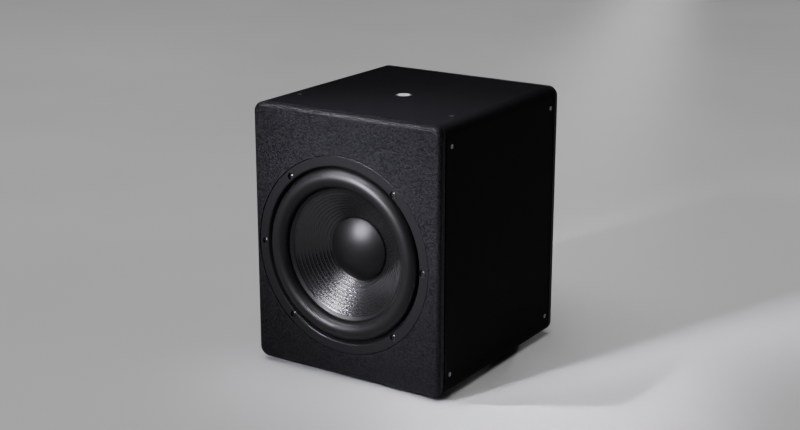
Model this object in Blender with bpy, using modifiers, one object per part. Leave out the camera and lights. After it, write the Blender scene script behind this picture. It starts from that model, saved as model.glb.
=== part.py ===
"""A ten-inch powered subwoofer as separate pieces: cabinet, driver and rear amplifier.

Metres, +Z up. The driver faces -Y. The origin is on the floor, under the middle of the object's box.
A "depth" is measured from the baffle's face into the cabinet; a "rear depth" from the rear face into it.
"""

import math

import bmesh
import bpy
from mathutils import Matrix, Vector

# Cabinet
WIDTH = 0.290
DEPTH = 0.307
BODY_HEIGHT = 0.356
FOOT_HEIGHT = 0.006
PROUD = 0.005  # how far the surround stands out in front, and the knobs and fins behind
CORNER_RADIUS = 0.014
EDGE_RADIUS = 0.006
PANEL_SLAB = 0.0115
GROOVE = 0.003
PLUG = 0.010
SLEEVE_THICKNESS = 0.002
SLEEVE_RADIUS = 0.014
BOARD_THICKNESS = 0.012
GAP = 0.0003  # left between pieces that touch
CORNER_SEGMENTS = 6
EDGE_SEGMENTS = 4
BOX_SEGMENTS = 2

# Worked out from the above
FRONT_Y = -DEPTH / 2
REAR_Y = DEPTH / 2
FLOOR_Z = FOOT_HEIGHT
TOP_Z = FOOT_HEIGHT + BODY_HEIGHT
MIDDLE_Z = FOOT_HEIGHT + BODY_HEIGHT / 2
PANEL_THICKNESS = PANEL_SLAB + GROOVE
BOARD_OUTER_X = WIDTH / 2 - SLEEVE_THICKNESS - GAP
BOARD_OUTER_Z = BODY_HEIGHT / 2 - SLEEVE_THICKNESS - GAP
BOARD_LENGTH = DEPTH - 2 * (PANEL_THICKNESS + GAP)
INNER_X = BOARD_OUTER_X - BOARD_THICKNESS
INNER_Z = BOARD_OUTER_Z - BOARD_THICKNESS

# Wadding
WADDING_MIDDLE = 0.180
WADDING_THICKNESS = 0.050
WADDING_EDGE = 0.012
WADDING_CLEAR = 0.003

# Feet, badge and the sleeve's screws
FOOT_RADIUS = 0.016
FOOT_EDGE = 0.0012
FOOT_X = 0.105
FOOT_Y = 0.108
BADGE_RADIUS = 0.0112
BADGE_Y = -0.0135
BADGE_CROWN = 0.0004
SCREW_FRONT_DEPTH = 0.027
SCREW_REAR_DEPTH = 0.284
SCREW_FROM_END = 0.0275
TOP_SCREW_X = 0.119
TOP_SCREW_DEPTH = 0.068
SCREW_HEAD_RADIUS = 0.0033
SCREW_HEAD_EDGE = 0.0001  # the head's straight edge above its cone
SCREW_HEAD_HEIGHT = 0.0020
SCREW_SHANK_RADIUS = 0.0019
SCREW_LENGTH = 0.0105
HOLE_CLEAR = 0.001  # how far a cutter or a joined shape runs past a face

# Driver
DRIVER_X = -0.005
DRIVER_Z = FOOT_HEIGHT + 0.1667
FLANGE_RADIUS = 0.133
FLANGE_FACE = 0.0006
FLANGE_BACK = 0.0052
FLANGE_INNER = 0.120
FLANGE_SEAT = 0.0060
CUP_FRONT_BACK = 0.0130
CUP_FRONT_INNER = 0.1120
CUP_RADIUS = 0.119
LEDGE_RADIUS = 0.117
LEDGE_DEPTH = 0.0088
GASKET_THICKNESS = 0.001
GASKET_INNER = 0.1206
GASKET_OUTER = 0.1325
BOLT_CIRCLE_RADIUS = 0.1245
BOLT_ANGLE = 50.0
BOLT_ANGLES = (0.0, BOLT_ANGLE, 180.0 - BOLT_ANGLE, 180.0, 180.0 + BOLT_ANGLE, -BOLT_ANGLE)
COUNTERBORE_RADIUS = 0.0046
COUNTERBORE_DEPTH = 0.0032
BOLT_HEAD_RADIUS = 0.0036
BOLT_HEAD_PROUD = 0.0007
BOLT_SHANK_RADIUS = 0.0022
BOLT_LENGTH = 0.0103
SURROUND_OUTER = 0.1150
SURROUND_INNER = 0.0905
ROLL_HEIGHT = 0.0129
SURROUND_THICKNESS = 0.0012
SURROUND_DEPTH = 0.0079
CONE_LIP = 0.0850
CONE_EDGE_DEPTH = 0.0096
CONE_NECK = 0.0380
CONE_NECK_DEPTH = 0.0445
CONE_FLARE = 1.04
CONE_THICKNESS = 0.0014
CAP_RADIUS = 0.0426
CAP_RISE = 0.014
CAP_THICKNESS = 0.001
FORMER_INNER = 0.0366
FORMER_OUTER = 0.0374
FORMER_FRONT = 0.0415
FORMER_REAR = 0.1010
WINDING_OUTER = 0.0388
WINDING_FRONT = 0.0770
SPIDER_DEPTH = 0.0642
SPIDER_OUTER = 0.0755
SPIDER_INNER = 0.0380
SPIDER_WAVE = 0.0020
SPIDER_WAVES = 3
SPIDER_THICKNESS = 0.001
SPIDER_FLAT = 0.005
CUP_REAR_RADIUS = 0.080
CUP_REAR_FRONT = 0.059
CUP_REAR_BACK = 0.0835
CUP_REAR_FLOOR = 0.0040
CUP_REAR_BORE = 0.0440
CUP_REAR_INNER = 0.0700
CUP_REAR_LEDGE = 0.0760
SPOKE_COUNT = 6
SPOKE_WIDTH = 0.014
SPOKE_THICKNESS = 0.006
SPOKE_TOP = (0.1150, 0.0105)  # radius, depth
SPOKE_END_DEPTH = 0.0660
GAP_RADIUS = 0.0400
POLE_RADIUS = 0.0358
PLATE_RADIUS = 0.070
MAGNET_RADIUS = 0.080
MAGNET_BORE = 0.046
TOP_PLATE_THICKNESS = 0.010
MAGNET_THICKNESS = 0.024
BACK_PLATE_THICKNESS = 0.010
VENT_RADIUS = 0.012
BOOT_THICKNESS = 0.0025
TERMINAL_SIZE = (0.004, 0.018, 0.026)
LEAD_RADIUS = 0.0007
LEAD_CONE_END = 0.056
LEAD_OFFSET = 0.008
LEAD_PULL = 0.010  # how far the curve runs along each end before it bends
LEAD_STEPS = 14

# Rear amplifier
PLATE_WIDTH = 0.220
PLATE_HEIGHT = 0.280
PLATE_THICKNESS = 0.003
PLATE_FACE = 0.007  # rear depth of the plate's outer face
OPENING_WIDTH = 0.200
OPENING_HEIGHT = 0.260
COVER_WIDTH = 0.196
COVER_HEIGHT = 0.256
COVER_REAR_DEPTH = 0.080
COVER_THICKNESS = 0.0015
BOARD_REAR_DEPTH = 0.036
BOARD_WIDTH = 0.150
BOARD_HEIGHT = 0.140
BOARD_Z = 0.185
CIRCUIT_THICKNESS = 0.0016
POST_X = 0.070
POST_LEVELS = (0.120, 0.250)
POST_RADIUS = 0.003
CAPACITOR_PLACE = (0.040, 0.215)  # x, z
CAPACITOR_RADIUS = 0.015
CAPACITOR_LENGTH = 0.030
TRANSFORMER_PLACE = (-0.042, 0.112)
TRANSFORMER_RADII = (0.028, 0.013)
SINK_Z = 0.268
SINK_WIDTH = 0.150
SINK_HEIGHT = 0.088
FIN_COUNT = 15
FIN_THICKNESS = 0.002
SINK_BASE = 0.003
CONTROL_Z = 0.190
LEVEL_X = 0.060
CROSSOVER_X = 0.015
PHASE_X = -0.030
KNOB_RADIUS = 0.0095
SHAFT_RADIUS = 0.003
SHAFT_LENGTH = 0.007
KNOB_LIFT = 0.0006
POINTER_WIDTH = 0.0012
POT_SIZE = (0.016, 0.010, 0.018)
POT_BORE_MIDDLE = 0.003
SLIDER_SIZE = (0.0040, 0.0030)
SLIDER_PROUD = 0.003
SLIDER_EDGE = 0.0004
SLIDER_TRAVEL = 0.004
SLIDER_SLACK = (0.0006, 0.0004)
XLR_Z = 0.138
XLR_INPUT_X = 0.045
XLR_OUTPUT_X = 0.005
XLR_SHELL_RADIUS = 0.0118
XLR_FLANGE = (0.026, 0.031)
XLR_LENGTH = 0.020
XLR_WELL_RADIUS = 0.0092
CONTACT_CIRCLE = 0.0036
CONTACT_ANGLES = (30.0, 150.0, 270.0)
CONTACT_BORE = 0.0014
CONTACT_DEPTH = 0.008
PIN_RADIUS = 0.0012
PIN_LENGTH = 0.012
FITTING_FLANGE = 0.002  # thickness of a connector's flange
MAINS_Z = 0.080
INLET_X = -0.055
SWITCH_X = -0.010
ROCKER_TILT = 8.0
ROCKER_PIVOT = 0.0020
ROCKER_HALF = 0.008
ROCKER_WIDTH = 0.0105
ROCKER_FLANK = 0.0015
ROCKER_KEEL = (0.0045, 0.0055)  # half length, depth
SWITCH_FLANGE = (0.0150, 0.0210)
SWITCH_FLANGE_THICKNESS = 0.0016
SWITCH_BODY = (0.0128, 0.0188)
SWITCH_BODY_DEPTH = 0.0250
SWITCH_WELL = (0.0112, 0.0174)
SWITCH_WELL_DEPTH = 0.0165
INLET_FLANGE = (0.0310, 0.0245)
INLET_BODY = (0.0270, 0.0200)
INLET_BODY_DEPTH = 0.0310
INLET_WELL = (0.0236, 0.0160)
INLET_WELL_DEPTH = 0.0250
BLADE_PLACES = ((-0.007, -0.002), (0.0, 0.002), (0.007, -0.002))
BLADE_SIZE = (0.0020, 0.0040)
BLADE_TIP_DEPTH = 0.0110

# Faces around a full turn
RIM_STEPS = 48
CONE_STEPS = 36
MOTOR_STEPS = 28
ROUND_STEPS = 24
SMALL_STEPS = 12

# Principled settings: base colour, roughness, metallic
FINISHES = {
    "textured_black": ((0.030, 0.030, 0.033), 0.62, 0.0),
    "satin_steel": ((0.012, 0.012, 0.013), 0.38, 0.3),
    "board": ((0.42, 0.30, 0.19), 0.85, 0.0),
    "wadding": ((0.82, 0.82, 0.80), 0.95, 0.0),
    "polished": ((0.86, 0.86, 0.88), 0.14, 1.0),
    "rubber": ((0.015, 0.015, 0.016), 0.48, 0.0),
    "black_screw": ((0.05, 0.05, 0.055), 0.30, 0.9),
    "cast_black": ((0.022, 0.022, 0.024), 0.42, 0.4),
    "cone_black": ((0.020, 0.020, 0.022), 0.28, 0.0),
    "copper": ((0.72, 0.34, 0.16), 0.32, 1.0),
    "kapton": ((0.60, 0.33, 0.08), 0.35, 0.0),
    "cloth": ((0.62, 0.47, 0.22), 0.9, 0.0),
    "zinc": ((0.62, 0.62, 0.60), 0.35, 1.0),
    "ferrite": ((0.06, 0.06, 0.065), 0.65, 0.0),
    "circuit": ((0.02, 0.14, 0.06), 0.45, 0.0),
    "plastic": ((0.018, 0.018, 0.019), 0.40, 0.0),
    "anodised": ((0.025, 0.025, 0.028), 0.40, 0.7),
    "winding_tape": ((0.75, 0.62, 0.20), 0.50, 0.0),
}

DRIVER_FRONT = Vector((DRIVER_X, FRONT_Y, DRIVER_Z))
FORWARD = Vector((0.0, -1.0, 0.0))
BACKWARD = Vector((0.0, 1.0, 0.0))
UPWARD = Vector((0.0, 0.0, 1.0))


def clear_scene():
    for obj in list(bpy.data.objects):
        bpy.data.objects.remove(obj, do_unlink=True)


def new_collection(name):
    collection = bpy.data.collections.new(name)
    bpy.context.scene.collection.children.link(collection)
    return collection


def file_under(obj, collection):
    for old in list(obj.users_collection):
        old.objects.unlink(obj)
    collection.objects.link(obj)


def part(obj, name, finish):
    """Names a finished piece, gives it its own material and files it with the subwoofer's pieces."""
    colour, roughness, metallic = FINISHES[finish]
    material = bpy.data.materials.new(name)
    material.use_nodes = True
    shader = material.node_tree.nodes["Principled BSDF"]
    shader.inputs["Base Color"].default_value = (*colour, 1.0)
    shader.inputs["Roughness"].default_value = roughness
    shader.inputs["Metallic"].default_value = metallic
    material.diffuse_color = (*colour, 1.0)
    obj.name = name
    obj.data.name = name
    obj.data.materials.clear()
    obj.data.materials.append(material)
    file_under(obj, PARTS)
    return obj


def tool(obj, name):
    """Files a shape that only cuts or joins other shapes."""
    obj.name = name
    obj.hide_render = True
    obj.display_type = "WIRE"
    file_under(obj, CUTTERS)
    return obj


def boolean(target, other, operation="DIFFERENCE"):
    modifier = target.modifiers.new(other.name, "BOOLEAN")
    modifier.operation = operation
    modifier.solver = "EXACT"
    modifier.object = other
    return target


def rear_y(depth):
    return REAR_Y - depth


def box(centre, size, bevel=0.0):
    """A box with its scale in its mesh, and its edges rounded where a bevel is given."""
    bpy.ops.mesh.primitive_cube_add(size=1.0, location=centre)
    obj = bpy.context.object
    obj.data.transform(Matrix.Diagonal((*size, 1.0)))
    if bevel:
        modifier = obj.modifiers.new("Rounded edges", "BEVEL")
        modifier.width = bevel
        modifier.segments = BOX_SEGMENTS
        modifier.limit_method = "ANGLE"
    return obj


def behind_plate(x, z, width, height, near, far, bevel=0.0):
    """A box between two rear depths, at a place on the amplifier's plate."""
    centre = (x, rear_y((near + far) / 2), z)
    return box(centre, (width, abs(far - near), height), bevel)


def cylinder(centre, radius, length, axis="Y", steps=SMALL_STEPS):
    turns = {"X": (0.0, math.pi / 2, 0.0), "Y": (math.pi / 2, 0.0, 0.0), "Z": (0.0, 0.0, 0.0)}
    bpy.ops.mesh.primitive_cylinder_add(
        vertices=steps, radius=radius, depth=length, location=centre, rotation=turns[axis]
    )
    return bpy.context.object


def turned(profile, origin, outward, steps, closed=True, shell=0.0):
    """A profile of (radius, depth) points turned about an axis that points outward from origin.

    A closed profile runs front to back along its outer side and returns along its inner side.
    An open one either ends on the axis at both ends, or is a skin that takes the shell thickness.
    """
    mesh = bpy.data.meshes.new("profile")
    points = [(radius, 0.0, -depth) for radius, depth in profile]
    edges = [(i, i + 1) for i in range(len(points) - 1)]
    if closed:
        edges.append((len(points) - 1, 0))
    mesh.from_pydata(points, edges, [])
    obj = bpy.data.objects.new("turned", mesh)
    PARTS.objects.link(obj)
    turn = Vector(outward).to_track_quat("Z", "Y").to_matrix().to_4x4()
    obj.matrix_world = Matrix.Translation(origin) @ turn
    screw = obj.modifiers.new("Turn", "SCREW")
    screw.axis = "Z"
    screw.angle = 2.0 * math.pi
    screw.steps = steps
    screw.render_steps = steps
    screw.use_merge_vertices = True
    screw.merge_threshold = 0.00001
    screw.use_smooth_shade = True
    if shell:
        solidify = obj.modifiers.new("Thickness", "SOLIDIFY")
        solidify.thickness = shell
        solidify.offset = 0.0
        solidify.use_even_offset = True
    return obj


def ring(inner, outer, front, back):
    return [(outer, front), (outer, back), (inner, back), (inner, front)]


def disc(radius, front, back):
    return [(0.0, front), (radius, front), (radius, back), (0.0, back)]


def outline(points, thickness, matrix):
    """A flat outline in the local XY plane, as thick as given, as a filled curve."""
    curve = bpy.data.curves.new("outline", "CURVE")
    curve.dimensions = "2D"
    curve.fill_mode = "BOTH"
    curve.extrude = thickness / 2
    spline = curve.splines.new("POLY")
    spline.points.add(len(points) - 1)
    for point, (x, y) in zip(spline.points, points):
        point.co = (x, y, 0.0, 1.0)
    spline.use_cyclic_u = True
    obj = bpy.data.objects.new("outline", curve)
    PARTS.objects.link(obj)
    obj.matrix_world = matrix
    return obj


def mesh_from(obj):
    """The curve as a welded mesh object, which a Boolean can take."""
    graph = bpy.context.evaluated_depsgraph_get()
    mesh = bpy.data.meshes.new_from_object(obj.evaluated_get(graph))
    bm = bmesh.new()
    bm.from_mesh(mesh)
    bmesh.ops.remove_doubles(bm, verts=bm.verts, dist=0.000001)
    bm.to_mesh(mesh)
    bm.free()
    solid = bpy.data.objects.new("solid", mesh)
    PARTS.objects.link(solid)
    solid.matrix_world = obj.matrix_world
    bpy.data.objects.remove(obj, do_unlink=True)
    return solid


def cabinet_box(bm, width, length, height, radius):
    """A box about the origin whose four edges along Y are rounded."""
    bmesh.ops.create_cube(bm, size=1.0, matrix=Matrix.Diagonal((width, length, height, 1.0)))
    long_edges = [e for e in bm.edges if abs(e.verts[0].co.y - e.verts[1].co.y) > length / 2]
    bmesh.ops.bevel(
        bm, geom=long_edges, offset=radius, segments=CORNER_SEGMENTS, profile=0.5, affect="EDGES"
    )


def end_face(bm, sign):
    return max(bm.faces, key=lambda face: sign * face.calc_center_median().y)


def panel(name):
    """The slab both end panels start from: rounded at its face, stepped in behind for the seam."""
    bm = bmesh.new()
    cabinet_box(bm, WIDTH, PANEL_SLAB, BODY_HEIGHT, CORNER_RADIUS)
    rim = list(end_face(bm, -1.0).edges)
    bmesh.ops.bevel(
        bm, geom=rim, offset=EDGE_RADIUS, segments=EDGE_SEGMENTS, profile=0.5, affect="EDGES"
    )
    back = end_face(bm, 1.0)
    bmesh.ops.inset_individual(bm, faces=[back], thickness=GROOVE, use_even_offset=True)
    moved = bmesh.ops.extrude_face_region(bm, geom=[back])["geom"]
    stepped = [item for item in moved if isinstance(item, bmesh.types.BMVert)]
    bmesh.ops.translate(bm, verts=stepped, vec=(0.0, GROOVE, 0.0))
    bmesh.ops.delete(bm, geom=[back], context="FACES_ONLY")
    bmesh.ops.translate(bm, verts=bm.verts, vec=(0.0, PANEL_SLAB / 2, 0.0))
    mesh = bpy.data.meshes.new(name)
    bm.to_mesh(mesh)
    bm.free()
    obj = bpy.data.objects.new(name, mesh)
    PARTS.objects.link(obj)
    return obj


def panel_plug(name):
    """The thickening behind a panel that fits inside the four boards."""
    size = (2 * (INNER_X - GAP), PLUG + GROOVE / 2, 2 * (INNER_Z - GAP))
    middle = PANEL_THICKNESS + PLUG / 2 - GROOVE / 4
    return tool(box((0.0, middle, 0.0), size), name)


def bolt_places():
    for angle in BOLT_ANGLES:
        turn = math.radians(angle)
        across = Vector((math.cos(turn), 0.0, math.sin(turn)))
        yield DRIVER_FRONT + across * BOLT_CIRCLE_RADIUS


def bolt_profile(slack):
    """The driver's socket-head screw, or the hole for it when given some slack."""
    head = FLANGE_FACE + BOLT_HEAD_PROUD - slack
    seat = FLANGE_FACE + COUNTERBORE_DEPTH
    end = seat + BOLT_LENGTH + slack
    shank = BOLT_SHANK_RADIUS + slack
    return [(0.0, head), (BOLT_HEAD_RADIUS, head), (BOLT_HEAD_RADIUS, seat), (shank, seat),
            (shank, end), (0.0, end)]


def front_baffle():
    obj = panel("front_baffle")
    obj.location = (0.0, FRONT_Y, MIDDLE_Z)
    plug = panel_plug("baffle_plug")
    plug.location += Vector(obj.location)
    boolean(obj, plug, "UNION")
    floor = FLANGE_BACK + 2 * GAP + GASKET_THICKNESS
    behind = PANEL_THICKNESS + 2 * PLUG
    rim = FLANGE_RADIUS + 2 * GAP
    throat = CUP_RADIUS + 2 * GAP
    profile = [(0.0, -PROUD), (rim, -PROUD), (rim, floor), (throat, floor), (throat, behind),
               (0.0, behind)]
    mouth = turned(profile, DRIVER_FRONT, FORWARD, RIM_STEPS, closed=False)
    boolean(obj, tool(mouth, "driver_mouth"))
    for i, place in enumerate(bolt_places()):
        pilot_end = FLANGE_FACE + COUNTERBORE_DEPTH + BOLT_LENGTH + GAP
        pilot = disc(BOLT_SHANK_RADIUS + GAP, FLANGE_BACK, pilot_end)
        hole = turned(pilot, place, FORWARD, SMALL_STEPS, closed=False)
        boolean(obj, tool(hole, f"baffle_pilot_{i + 1}"))
    part(obj, "front_baffle", "textured_black")


def rear_panel():
    obj = panel("rear_panel")
    obj.matrix_world = Matrix.Translation((0.0, REAR_Y, MIDDLE_Z)) @ Matrix.Rotation(math.pi, 4, "Z")
    plug = panel_plug("rear_plug")
    plug.matrix_world = obj.matrix_world @ Matrix.Translation(plug.location)
    boolean(obj, plug, "UNION")
    seat = PLATE_FACE + PLATE_THICKNESS + GAP
    through = PANEL_THICKNESS + 2 * PLUG
    recess = behind_plate(0.0, MIDDLE_Z, PLATE_WIDTH + 0.001, PLATE_HEIGHT + 0.001, -PROUD, seat)
    opening = behind_plate(0.0, MIDDLE_Z, OPENING_WIDTH, OPENING_HEIGHT, 0.0, through)
    boolean(obj, tool(recess, "plate_recess"))
    boolean(obj, tool(opening, "plate_opening"))
    part(obj, "rear_panel", "textured_black")


def sleeve_screws():
    """Yields each cover screw's name, the point where it meets the sleeve's face, and its outward axis."""
    for side, sign in (("left", -1.0), ("right", 1.0)):
        outward = Vector((sign, 0.0, 0.0))
        for end, depth in (("front", SCREW_FRONT_DEPTH), ("rear", SCREW_REAR_DEPTH)):
            for level, z in (("lower", FLOOR_Z + SCREW_FROM_END), ("upper", TOP_Z - SCREW_FROM_END)):
                place = Vector((sign * WIDTH / 2, FRONT_Y + depth, z))
                yield f"sleeve_screw_{side}_{end}_{level}", place, outward
        top = Vector((sign * TOP_SCREW_X, FRONT_Y + TOP_SCREW_DEPTH, TOP_Z))
        yield f"sleeve_screw_top_{side}", top, UPWARD


def sleeve_screw_profile(slack, top):
    """A countersunk screw from its head down; the slack makes it the hole that the screw sits in."""
    head = SCREW_HEAD_RADIUS + slack
    shank = SCREW_SHANK_RADIUS + slack
    length = SCREW_LENGTH + slack
    return [(0.0, top), (head, top), (head, SCREW_HEAD_EDGE), (shank, SCREW_HEAD_HEIGHT),
            (shank, length), (0.0, length)]


def cabinet_sleeve():
    bm = bmesh.new()
    length = DEPTH - 2 * PANEL_THICKNESS
    cabinet_box(bm, WIDTH, length, BODY_HEIGHT, SLEEVE_RADIUS)
    ends = [end_face(bm, -1.0), end_face(bm, 1.0)]
    bmesh.ops.delete(bm, geom=ends, context="FACES")
    mesh = bpy.data.meshes.new("cabinet_sleeve")
    bm.to_mesh(mesh)
    bm.free()
    obj = bpy.data.objects.new("cabinet_sleeve", mesh)
    PARTS.objects.link(obj)
    obj.location = (0.0, 0.0, MIDDLE_Z)
    wall = obj.modifiers.new("Thickness", "SOLIDIFY")
    wall.thickness = SLEEVE_THICKNESS
    wall.offset = -1.0
    wall.use_even_offset = True
    place = (0.0, BADGE_Y, TOP_Z)
    badge_hole = cylinder(place, BADGE_RADIUS + GAP, 4 * SLEEVE_THICKNESS, "Z", ROUND_STEPS)
    boolean(obj, tool(badge_hole, "badge_hole"))
    for name, place, outward in sleeve_screws():
        profile = sleeve_screw_profile(GAP, -HOLE_CLEAR)
        hole = turned(profile, place, outward, SMALL_STEPS, closed=False)
        boolean(obj, tool(hole, f"hole_{name}"))
    part(obj, "cabinet_sleeve", "satin_steel")


def board_holes(obj, matching):
    """Cuts the screw holes whose names hold one of the given words."""
    for name, place, outward in sleeve_screws():
        if any(word in name for word in matching):
            profile = sleeve_screw_profile(GAP, -HOLE_CLEAR)
            hole = turned(profile, place, outward, SMALL_STEPS, closed=False)
            boolean(obj, tool(hole, f"{obj.name}_{name}"))


def flat_board(name, sign):
    """The top or bottom board, full width, its two outer long edges rounded to the sleeve's corner."""
    bm = bmesh.new()
    size = (2 * BOARD_OUTER_X, BOARD_LENGTH, BOARD_THICKNESS, 1.0)
    bmesh.ops.create_cube(bm, size=1.0, matrix=Matrix.Diagonal(size))
    outer = [e for e in bm.edges
             if all(sign * v.co.z > 0 for v in e.verts) and e.verts[0].co.x == e.verts[1].co.x]
    bmesh.ops.bevel(
        bm, geom=outer, offset=BOARD_THICKNESS - GAP, segments=EDGE_SEGMENTS, profile=0.5,
        affect="EDGES"
    )
    mesh = bpy.data.meshes.new(name)
    bm.to_mesh(mesh)
    bm.free()
    obj = bpy.data.objects.new(name, mesh)
    PARTS.objects.link(obj)
    obj.location = (0.0, 0.0, MIDDLE_Z + sign * (BOARD_OUTER_Z - BOARD_THICKNESS / 2))
    return part(obj, name, "board")


def boards():
    board_holes(flat_board("top_board", 1.0), ("top",))
    flat_board("bottom_board", -1.0)
    for side, sign in (("left", -1.0), ("right", 1.0)):
        centre = (sign * (BOARD_OUTER_X - BOARD_THICKNESS / 2), 0.0, MIDDLE_Z)
        size = (BOARD_THICKNESS, BOARD_LENGTH, 2 * (INNER_Z - GAP))
        obj = part(box(centre, size), f"side_board_{side}", "board")
        board_holes(obj, (f"{side}_front", f"{side}_rear"))


def wadding():
    size = (2 * (INNER_X - WADDING_CLEAR), WADDING_THICKNESS, 2 * (INNER_Z - WADDING_CLEAR))
    middle = (0.0, FRONT_Y + WADDING_MIDDLE, MIDDLE_Z)
    part(box(middle, size, WADDING_EDGE), "damping_wadding", "wadding")


def feet():
    for end, y in (("front", -FOOT_Y), ("rear", FOOT_Y)):
        for side, x in (("left", -FOOT_X), ("right", FOOT_X)):
            face = FOOT_RADIUS - FOOT_EDGE
            top = FOOT_HEIGHT - GAP
            profile = [(0.0, 0.0), (face, 0.0), (FOOT_RADIUS, FOOT_EDGE), (face, top), (0.0, top)]
            obj = turned(profile, (x, y, 0.0), -UPWARD, ROUND_STEPS, closed=False)
            part(obj, f"foot_{end}_{side}", "rubber")


def badge():
    base = SLEEVE_THICKNESS - GAP
    steps = 3
    curve = []
    for i in range(steps + 1):
        radius = BADGE_RADIUS * i / steps
        curve.append((radius, -BADGE_CROWN * (1.0 - (i / steps) ** 2)))
    profile = curve + [(BADGE_RADIUS, base), (0.0, base)]
    obj = turned(profile, (0.0, BADGE_Y, TOP_Z), UPWARD, ROUND_STEPS, closed=False)
    part(obj, "badge_disc", "polished")


def screws():
    for name, place, outward in sleeve_screws():
        obj = turned(sleeve_screw_profile(0.0, 0.0), place, outward, SMALL_STEPS, closed=False)
        part(obj, name, "black_screw")
    for i, place in enumerate(bolt_places()):
        obj = turned(bolt_profile(0.0), place, FORWARD, SMALL_STEPS, closed=False)
        part(obj, f"driver_screw_{i + 1}", "black_screw")


def driver_part(name, profile, finish, steps, closed=True, shell=0.0):
    return part(turned(profile, DRIVER_FRONT, FORWARD, steps, closed, shell), name, finish)


def spoke(angle):
    """One leg of the basket, from under the flange to the rear cup."""
    radius, depth = SPOKE_TOP
    front = Vector((radius, -depth))
    back = Vector((CUP_REAR_RADIUS, -SPOKE_END_DEPTH))
    run = back - front
    middle = (front + back) / 2
    obj = box((0.0, 0.0, 0.0), (run.length, SPOKE_WIDTH, SPOKE_THICKNESS))
    slope = math.atan2(-run.y, run.x)
    face = FORWARD.to_track_quat("Z", "Y").to_matrix().to_4x4()
    about_axis = Matrix.Rotation(math.radians(angle), 4, "Z")
    lean = Matrix.Translation((middle.x, 0.0, middle.y)) @ Matrix.Rotation(slope, 4, "Y")
    obj.matrix_world = Matrix.Translation(DRIVER_FRONT) @ face @ about_axis @ lean
    return obj


def basket():
    """The cast frame: flange with counterbores, glue ledge, legs and the cup that seats the motor."""
    flange = [
        (FLANGE_RADIUS, FLANGE_FACE), (FLANGE_RADIUS, FLANGE_BACK), (CUP_RADIUS, FLANGE_BACK),
        (CUP_RADIUS, CUP_FRONT_BACK), (CUP_FRONT_INNER, CUP_FRONT_BACK), (CUP_FRONT_INNER, LEDGE_DEPTH),
        (LEDGE_RADIUS, LEDGE_DEPTH), (LEDGE_RADIUS, FLANGE_SEAT), (FLANGE_INNER, FLANGE_FACE),
    ]
    obj = turned(flange, DRIVER_FRONT, FORWARD, RIM_STEPS)
    ledge = SPIDER_DEPTH + SPIDER_THICKNESS / 2 + GAP
    floor = CUP_REAR_BACK - CUP_REAR_FLOOR
    cup = [
        (CUP_REAR_RADIUS, CUP_REAR_FRONT), (CUP_REAR_RADIUS, CUP_REAR_BACK),
        (CUP_REAR_BORE, CUP_REAR_BACK), (CUP_REAR_BORE, floor), (CUP_REAR_INNER, floor),
        (CUP_REAR_INNER, ledge), (CUP_REAR_LEDGE, ledge), (CUP_REAR_LEDGE, CUP_REAR_FRONT),
    ]
    for i in range(SPOKE_COUNT):
        leg = spoke(360.0 * (i + 0.5) / SPOKE_COUNT)
        boolean(obj, tool(leg, f"basket_leg_{i + 1}"), "UNION")
    rear_cup = tool(turned(cup, DRIVER_FRONT, FORWARD, CONE_STEPS), "basket_cup")
    boolean(obj, rear_cup, "UNION")
    for i, place in enumerate(bolt_places()):
        seat = FLANGE_FACE + COUNTERBORE_DEPTH + GAP
        shank = BOLT_SHANK_RADIUS + GAP
        profile = [(0.0, -PROUD), (COUNTERBORE_RADIUS, -PROUD), (COUNTERBORE_RADIUS, seat),
                   (shank, seat), (shank, LEDGE_DEPTH), (0.0, LEDGE_DEPTH)]
        hole = turned(profile, place, FORWARD, SMALL_STEPS, closed=False)
        boolean(obj, tool(hole, f"flange_hole_{i + 1}"))
    part(obj, "basket", "cast_black")


def gasket():
    front = FLANGE_BACK + GAP
    profile = ring(GASKET_INNER, GASKET_OUTER, front, front + GASKET_THICKNESS)
    obj = turned(profile, DRIVER_FRONT, FORWARD, RIM_STEPS)
    for i, place in enumerate(bolt_places()):
        profile = disc(BOLT_SHANK_RADIUS + GAP, 0.0, PANEL_THICKNESS)
        hole = turned(profile, place, FORWARD, SMALL_STEPS, closed=False)
        boolean(obj, tool(hole, f"gasket_hole_{i + 1}"))
    part(obj, "basket_gasket", "rubber")


def cone_depth(radius):
    """Depth of the cone's middle surface, a little steeper towards the neck."""
    share = (SURROUND_INNER - radius) / (SURROUND_INNER - CONE_NECK)
    return CONE_EDGE_DEPTH + (CONE_NECK_DEPTH - CONE_EDGE_DEPTH) * share ** CONE_FLARE


def surround():
    middle = (SURROUND_OUTER + SURROUND_INNER) / 2
    half = (SURROUND_OUTER - SURROUND_INNER) / 2
    rise = ROLL_HEIGHT - SURROUND_THICKNESS / 2
    steps = 8
    lip = cone_depth(CONE_LIP) - (CONE_THICKNESS + SURROUND_THICKNESS) / 2 - 2 * GAP
    profile = [(LEDGE_RADIUS - GAP, SURROUND_DEPTH)]
    for i in range(steps + 1):
        turn = math.pi * i / steps
        profile.append((middle + half * math.cos(turn), SURROUND_DEPTH - rise * math.sin(turn)))
    profile.append((CONE_LIP, lip))
    driver_part("surround", profile, "rubber", CONE_STEPS, False, SURROUND_THICKNESS)


def cone():
    steps = 4
    profile = []
    for i in range(steps + 1):
        radius = SURROUND_INNER + (CONE_NECK - SURROUND_INNER) * i / steps
        profile.append((radius, cone_depth(radius)))
    driver_part("cone", profile, "cone_black", CONE_STEPS, False, CONE_THICKNESS)


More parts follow.
